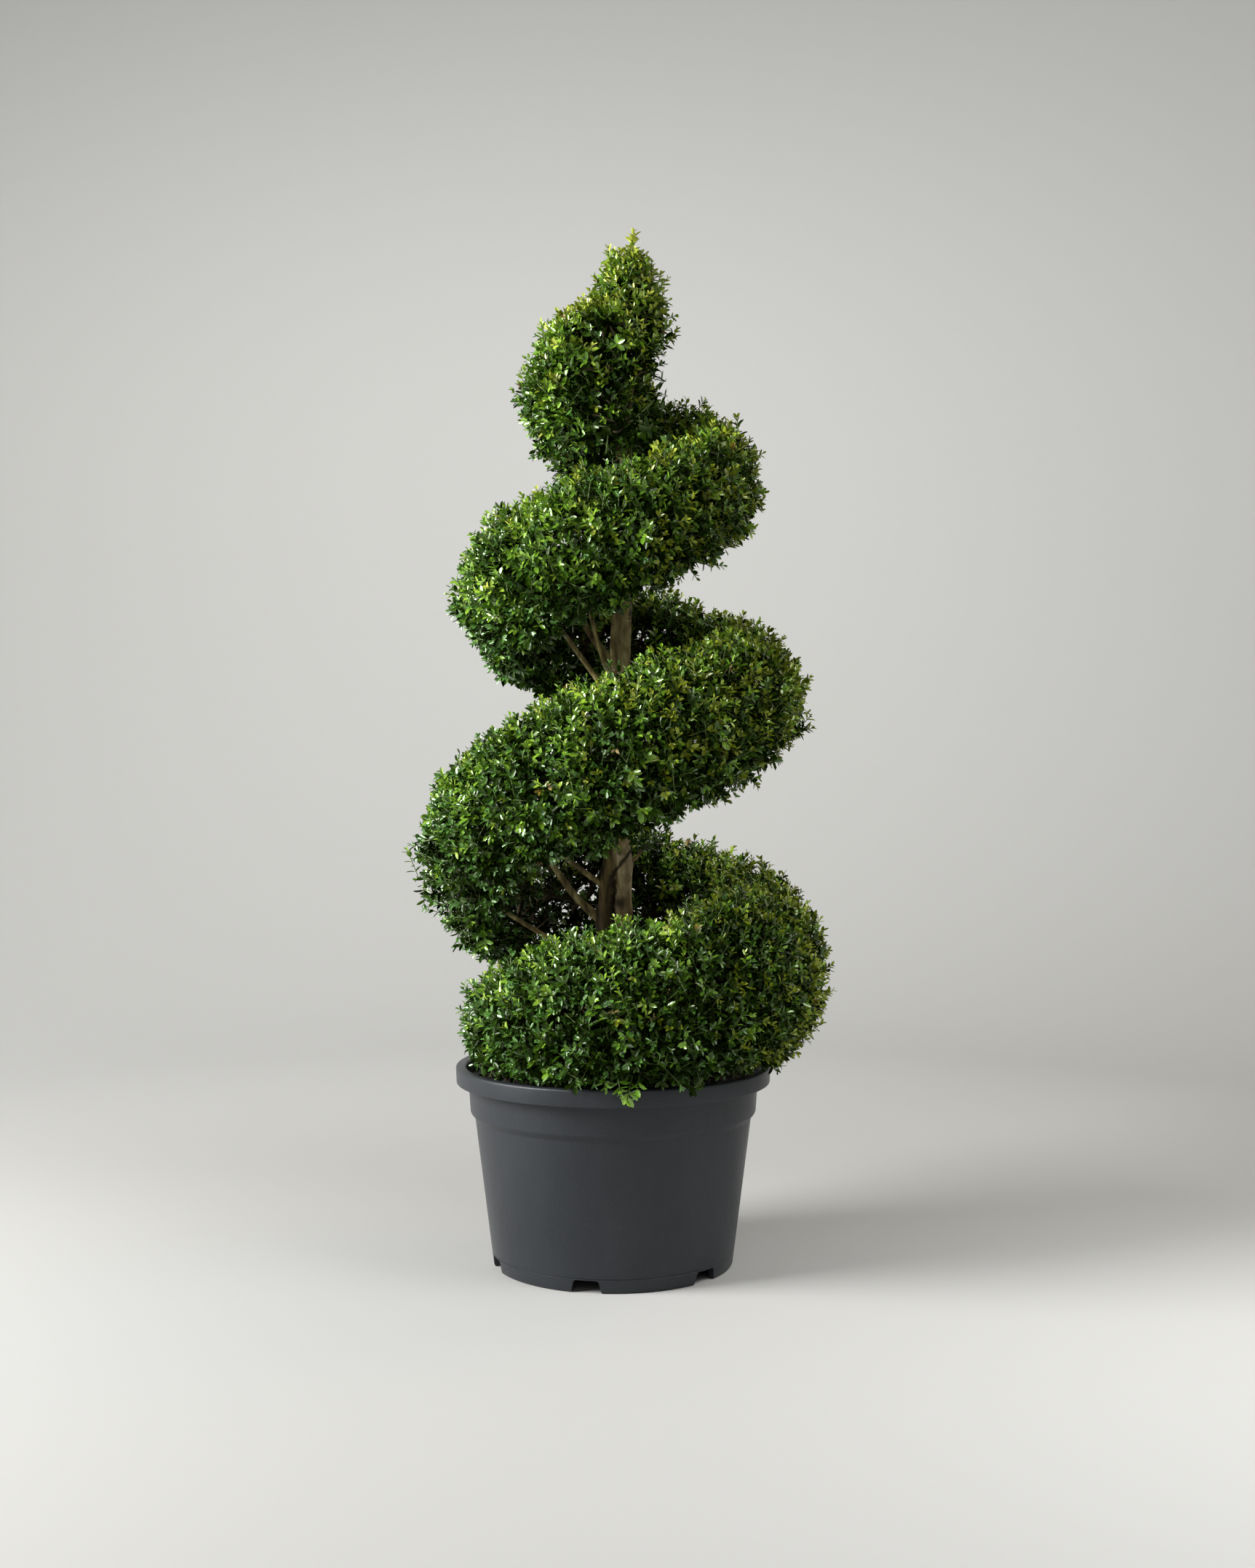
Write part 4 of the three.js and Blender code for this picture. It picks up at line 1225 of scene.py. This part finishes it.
# Single shoots that the picture shows: the leader at the tip, its neighbours, the leaves before the trunk's
# neck and at its fork, and the sprigs over the rim. Each look has its lines, with the tint of each one.
sprigs = [
    {"mass": "head", "pairs": 15, "size": 1.1, "rise": 0.95, "lines": [
        ("yellow", (0.025, 0, 1.405), (0.027, -0.001, 1.438), (0.029, -0.002, 1.472))]},
    {"mass": "head", "pairs": 12, "size": 1.0, "rise": 1.0, "lines": [
        ("yellow", (0.026, 0.001, 1.405), (0.028, 0.001, 1.436), (0.0285, 0.0, 1.466))]},
    {"mass": "head", "pairs": 7, "size": 0.95, "rise": 0.8, "lines": [
        ("yellow", (0.015, -0.006, 1.400), (0.012, -0.008, 1.425), (0.008, -0.010, 1.447))]},
    {"mass": "head", "pairs": 6, "size": 0.95, "rise": 0.8, "lines": [
        ("fresh", (0.002, -0.010, 1.395), (-0.002, -0.012, 1.416), (-0.006, -0.014, 1.436))]},
    {"mass": "head", "pairs": 7, "size": 0.95, "rise": 0.8, "lines": [
        ("fresh", (0.034, 0.004, 1.400), (0.038, 0.004, 1.425), (0.041, 0.004, 1.446))]},
    {"mass": "3_front", "pairs": 6, "size": 1.1, "rise": 0.4, "lines": [
        ("green", (0.012, -0.036, 1.118), (0.014, -0.044, 1.142), (0.013, -0.050, 1.166)),
        ("deep", (0.026, -0.034, 1.120), (0.026, -0.040, 1.146), (0.027, -0.046, 1.172)),
        ("deep", (0.000, -0.040, 1.116), (0.000, -0.048, 1.138), (-0.002, -0.054, 1.160)),
        ("green", (0.018, -0.030, 1.136), (0.020, -0.036, 1.160), (0.019, -0.042, 1.186))]},
    {"mass": "2_left", "pairs": 6, "size": 1.1, "rise": 0.4, "lines": [
        ("green", (-0.012, -0.026, 0.606), (-0.013, -0.034, 0.598), (-0.012, -0.042, 0.588)),
        ("deep", (-0.022, -0.024, 0.608), (-0.022, -0.032, 0.600), (-0.021, -0.040, 0.592))]},
    {"mass": "1_back", "pairs": 6, "size": 1.15, "rise": 0.4, "lines": [
        ("deep", (0.040, 0.010, 0.594), (0.048, 0.012, 0.606), (0.060, 0.008, 0.616)),
        ("deep", (0.034, 0.004, 0.588), (0.046, 0.002, 0.592), (0.058, -0.002, 0.598)),
        ("green", (0.030, 0.004, 0.590), (0.038, 0.000, 0.604), (0.042, -0.006, 0.618))]},
    {"mass": "1_front", "pairs": 7, "size": 1.1, "rise": 0.6, "lines": [
        ("grass", (0.030, -0.198, 0.318), (0.026, -0.228, 0.300), (0.019, -0.240, 0.272))]},
    {"mass": "1_front", "pairs": 6, "size": 1.1, "rise": 0.6, "lines": [
        ("green", (0.004, -0.198, 0.316), (0.008, -0.224, 0.303), (0.011, -0.234, 0.284)),
        ("green", (0.040, -0.198, 0.316), (0.036, -0.224, 0.303), (0.031, -0.236, 0.281)),
        ("green", (-0.012, -0.198, 0.314), (-0.010, -0.220, 0.302), (-0.008, -0.231, 0.290))]},
]


# What ends on one stretch of the spiral, or on the head's cone where no stretch is given: the branches' tips
# and roots, the twigs' tips, the share of them with leaves and the middles of their tufts, and the shoots'
# tips with the way out of the face.
def endsOn(stretch, depth, rng):
    g = growth
    gaps, insets = (g["gaps"], g["insets"]) if stretch else (g["headGaps"], g["headInsets"])
    pointsAt = spiralPoints if stretch else headPoints
    layers = []
    for gap, inset in zip(gaps, insets):
        places = placesOnSpiral(*stretch, gap) if stretch else placesOnHead(gap)
        grown = shareGrown(*places) if stretch else np.ones(len(places[0]))
        if stretch:
            _, width, _, half = sectionAt(places[0])
            inset = np.minimum(inset, g["room"] * np.minimum(width, half))
        layers.append((places, grown, *pointsAt(*places, inset)))
    (_, _, branchTips, _), (twigPlaces, twigShare, twigTips, _), (_, grown, tips, outs) = layers
    spine = spineOf(*stretch) if stretch else headSpine()
    tufts, _ = pointsAt(*twigPlaces, insets[2])
    keep = (depth(tips) > g["buried"]) & (rng.random(len(tips)) < grown)
    return branchTips, spine[nearest(branchTips, spine)], twigTips, twigShare, tufts, tips[keep], outs[keep]


# Branches from the middle of a mass, twigs from the branches, and shoots out through the clipped face.
def growMass(name, stretches, seed):
    g = growth
    rng = np.random.default_rng(seed)
    found = [endsOn(stretch, depth, rng) for stretch, depth in stretches]
    columns = [np.concatenate(column) for column in zip(*found)]
    branchTips, branchRoots, twigTips, twigShare, tufts, tips, outs = columns
    branches = bowed(branchRoots, branchTips, rng.normal(0, g["branchBow"], branchTips.shape), 5)
    twigRoots = branchTips[nearest(twigTips, branchTips)]
    twigs = bowed(twigRoots, twigTips, rng.normal(0, g["twigBow"], twigTips.shape), 4)

    # The shoots of one twig make a tuft, with a crease between it and the next.
    count = len(tips)
    tuft = nearest(tips, tufts)
    apart = (tips - tufts[tuft]) / (g["tuftSpan"] * g["gaps"][1])
    young = (rng.random(count) < g["proudShare"]) * (outs[:, 2] > g["proudOver"]) * 1.0
    stands = rng.normal(0, g["ragged"], count) + young * rng.uniform(*g["proud"], count)
    stands += swellAt(tips) + rng.normal(0, g["tuftRise"], len(tufts))[tuft]
    stands += g["crease"] * (g["creaseStarts"] - np.minimum(1, (apart ** 2).sum(-1)))
    tips = tips + outs * stands[:, None] + rng.normal(0, g["shift"], (count, 3))
    lift = [0, 0, g["headUpward"] if name == "head" else g["upward"]]
    heading = unit(outs + lift + g["fan"] * apart + rng.normal(0, g["stray"], (count, 3)))
    outward = (heading * outs).sum(1, keepdims=True)
    heading = unit(heading + outs * np.maximum(0, g["leastOut"] - outward))
    length = rng.uniform(*g["shootLength"], count)
    overMouth = np.hypot(tips[:, 0], tips[:, 1]) < pot["rimRadius"] - pot["rimWidth"] - g["rimClear"]
    lowest = np.where(overMouth, soil["top"] + g["overSoil"], pot["height"] + g["overRim"])
    tips[:, 2] = np.maximum(tips[:, 2], lowest)
    starts = tips - heading * length[:, None]
    starts[:, 2] = np.maximum(starts[:, 2], soil["top"] + g["startOverSoil"])
    shoots = np.stack([twigTips[tuft], starts, tips], axis=1)

    size = rng.uniform(*g["shootSize"], count) * (1 - (1 - g["proudSize"]) * young)
    tint = dealTints(tips, outs, young, rng.normal(0, g["tuftTint"], len(tufts))[tuft], rng)
    parts = [leafPairs(shoots[:, 1:], heading, size, tint, shootLook, rng)]
    own = [(sprig, row) for sprig in sprigs if sprig["mass"] == name for row in sprig["lines"]]
    for sprig, (tintName, *line) in own:
        line = np.array([line])
        size, tint = np.array([sprig["size"]]), np.array([tintNumber[tintName]])
        parts.append(leafPairs(line, unit(line[:, 2] - line[:, 1]), size, tint, {**sprigLook, **sprig}, rng))
        shoots = np.concatenate([shoots, line])
    leafy = twigs[rng.random(len(twigs)) < twigShare]
    chance = rng.random(len(leafy))
    # The leaves on the twigs inside the crown are near black, painted shade, with a few fallow ones.
    tint = np.where(chance < g["fallowShare"], tintNumber["fallow"], tintNumber["inner"])
    heading = unit(leafy[:, -1] - leafy[:, -2])
    parts.append(leafPairs(leafy, heading, np.ones(len(leafy)), tint, innerLook, rng))
    addPiece("leaves_" + name, meshOfParts("leaves", parts), leafPaints, ["foliage_" + name])

    slim = g["headSlim"] if name == "head" else 1.0
    spines = np.array([spineOf(*stretch) for stretch, _ in stretches if stretch])
    mesh = meshOfParts("twigs", [
        tubes(branches, slim * np.array(g["branchRadii"]), 5, 0), tubes(twigs, g["twigRadii"], 4, 0),
        tubes(shoots, g["shootRadii"], 3, 1), tubes(spines, slim * np.array(g["spineRadii"]), 7, 0)])
    mesh.polygons.foreach_set("use_smooth", np.ones(len(mesh.polygons), bool))
    addPiece("twigs_" + name, mesh, twigPaints, ["foliage_" + name])
    print("grew", name, len(branches), "branches,", len(twigs), "twigs,", len(shoots), "shoots")


def growAll():
    half = masses["turn"] / 2
    last, end = masses["last"], masses["end"]
    freely = lambda place: np.ones(len(place))
    for number, turn in enumerate(massMiddles()):
        depth = depthInHead if turn + half > last - masses["underHead"] else freely
        growMass(labelOf(turn), [((turn - half, turn + half), depth)], 31 + 7 * number)
    below = lambda place: depthInSpiral(place, last - masses["headFrom"], last)
    spiralRest = lambda place: np.minimum(depthInSpiral(place, last, end), below(place))
    growMass("head", [((last, end), depthInHead), (None, spiralRest)], 401)


addCamera()
buildStudio()
addLight()
print("studio ready")
buildPot(potPlastic())
buildSoil(pottingSoil())
print("pot and soil ready")
buildTrunk(barkWood("trunkWood", "brown", "pale", True))
buildBoughs(barkWood("boughWood", "bough", "bough"))
print("trunk and boughs ready")
leafPaints = leafMaterials()
twigPaints = [newMaterial("twigBark", (0.085, 0.062, 0.028), 0.8),
              newMaterial("shootStem", (0.080, 0.125, 0.022), 0.6)]
growAll()
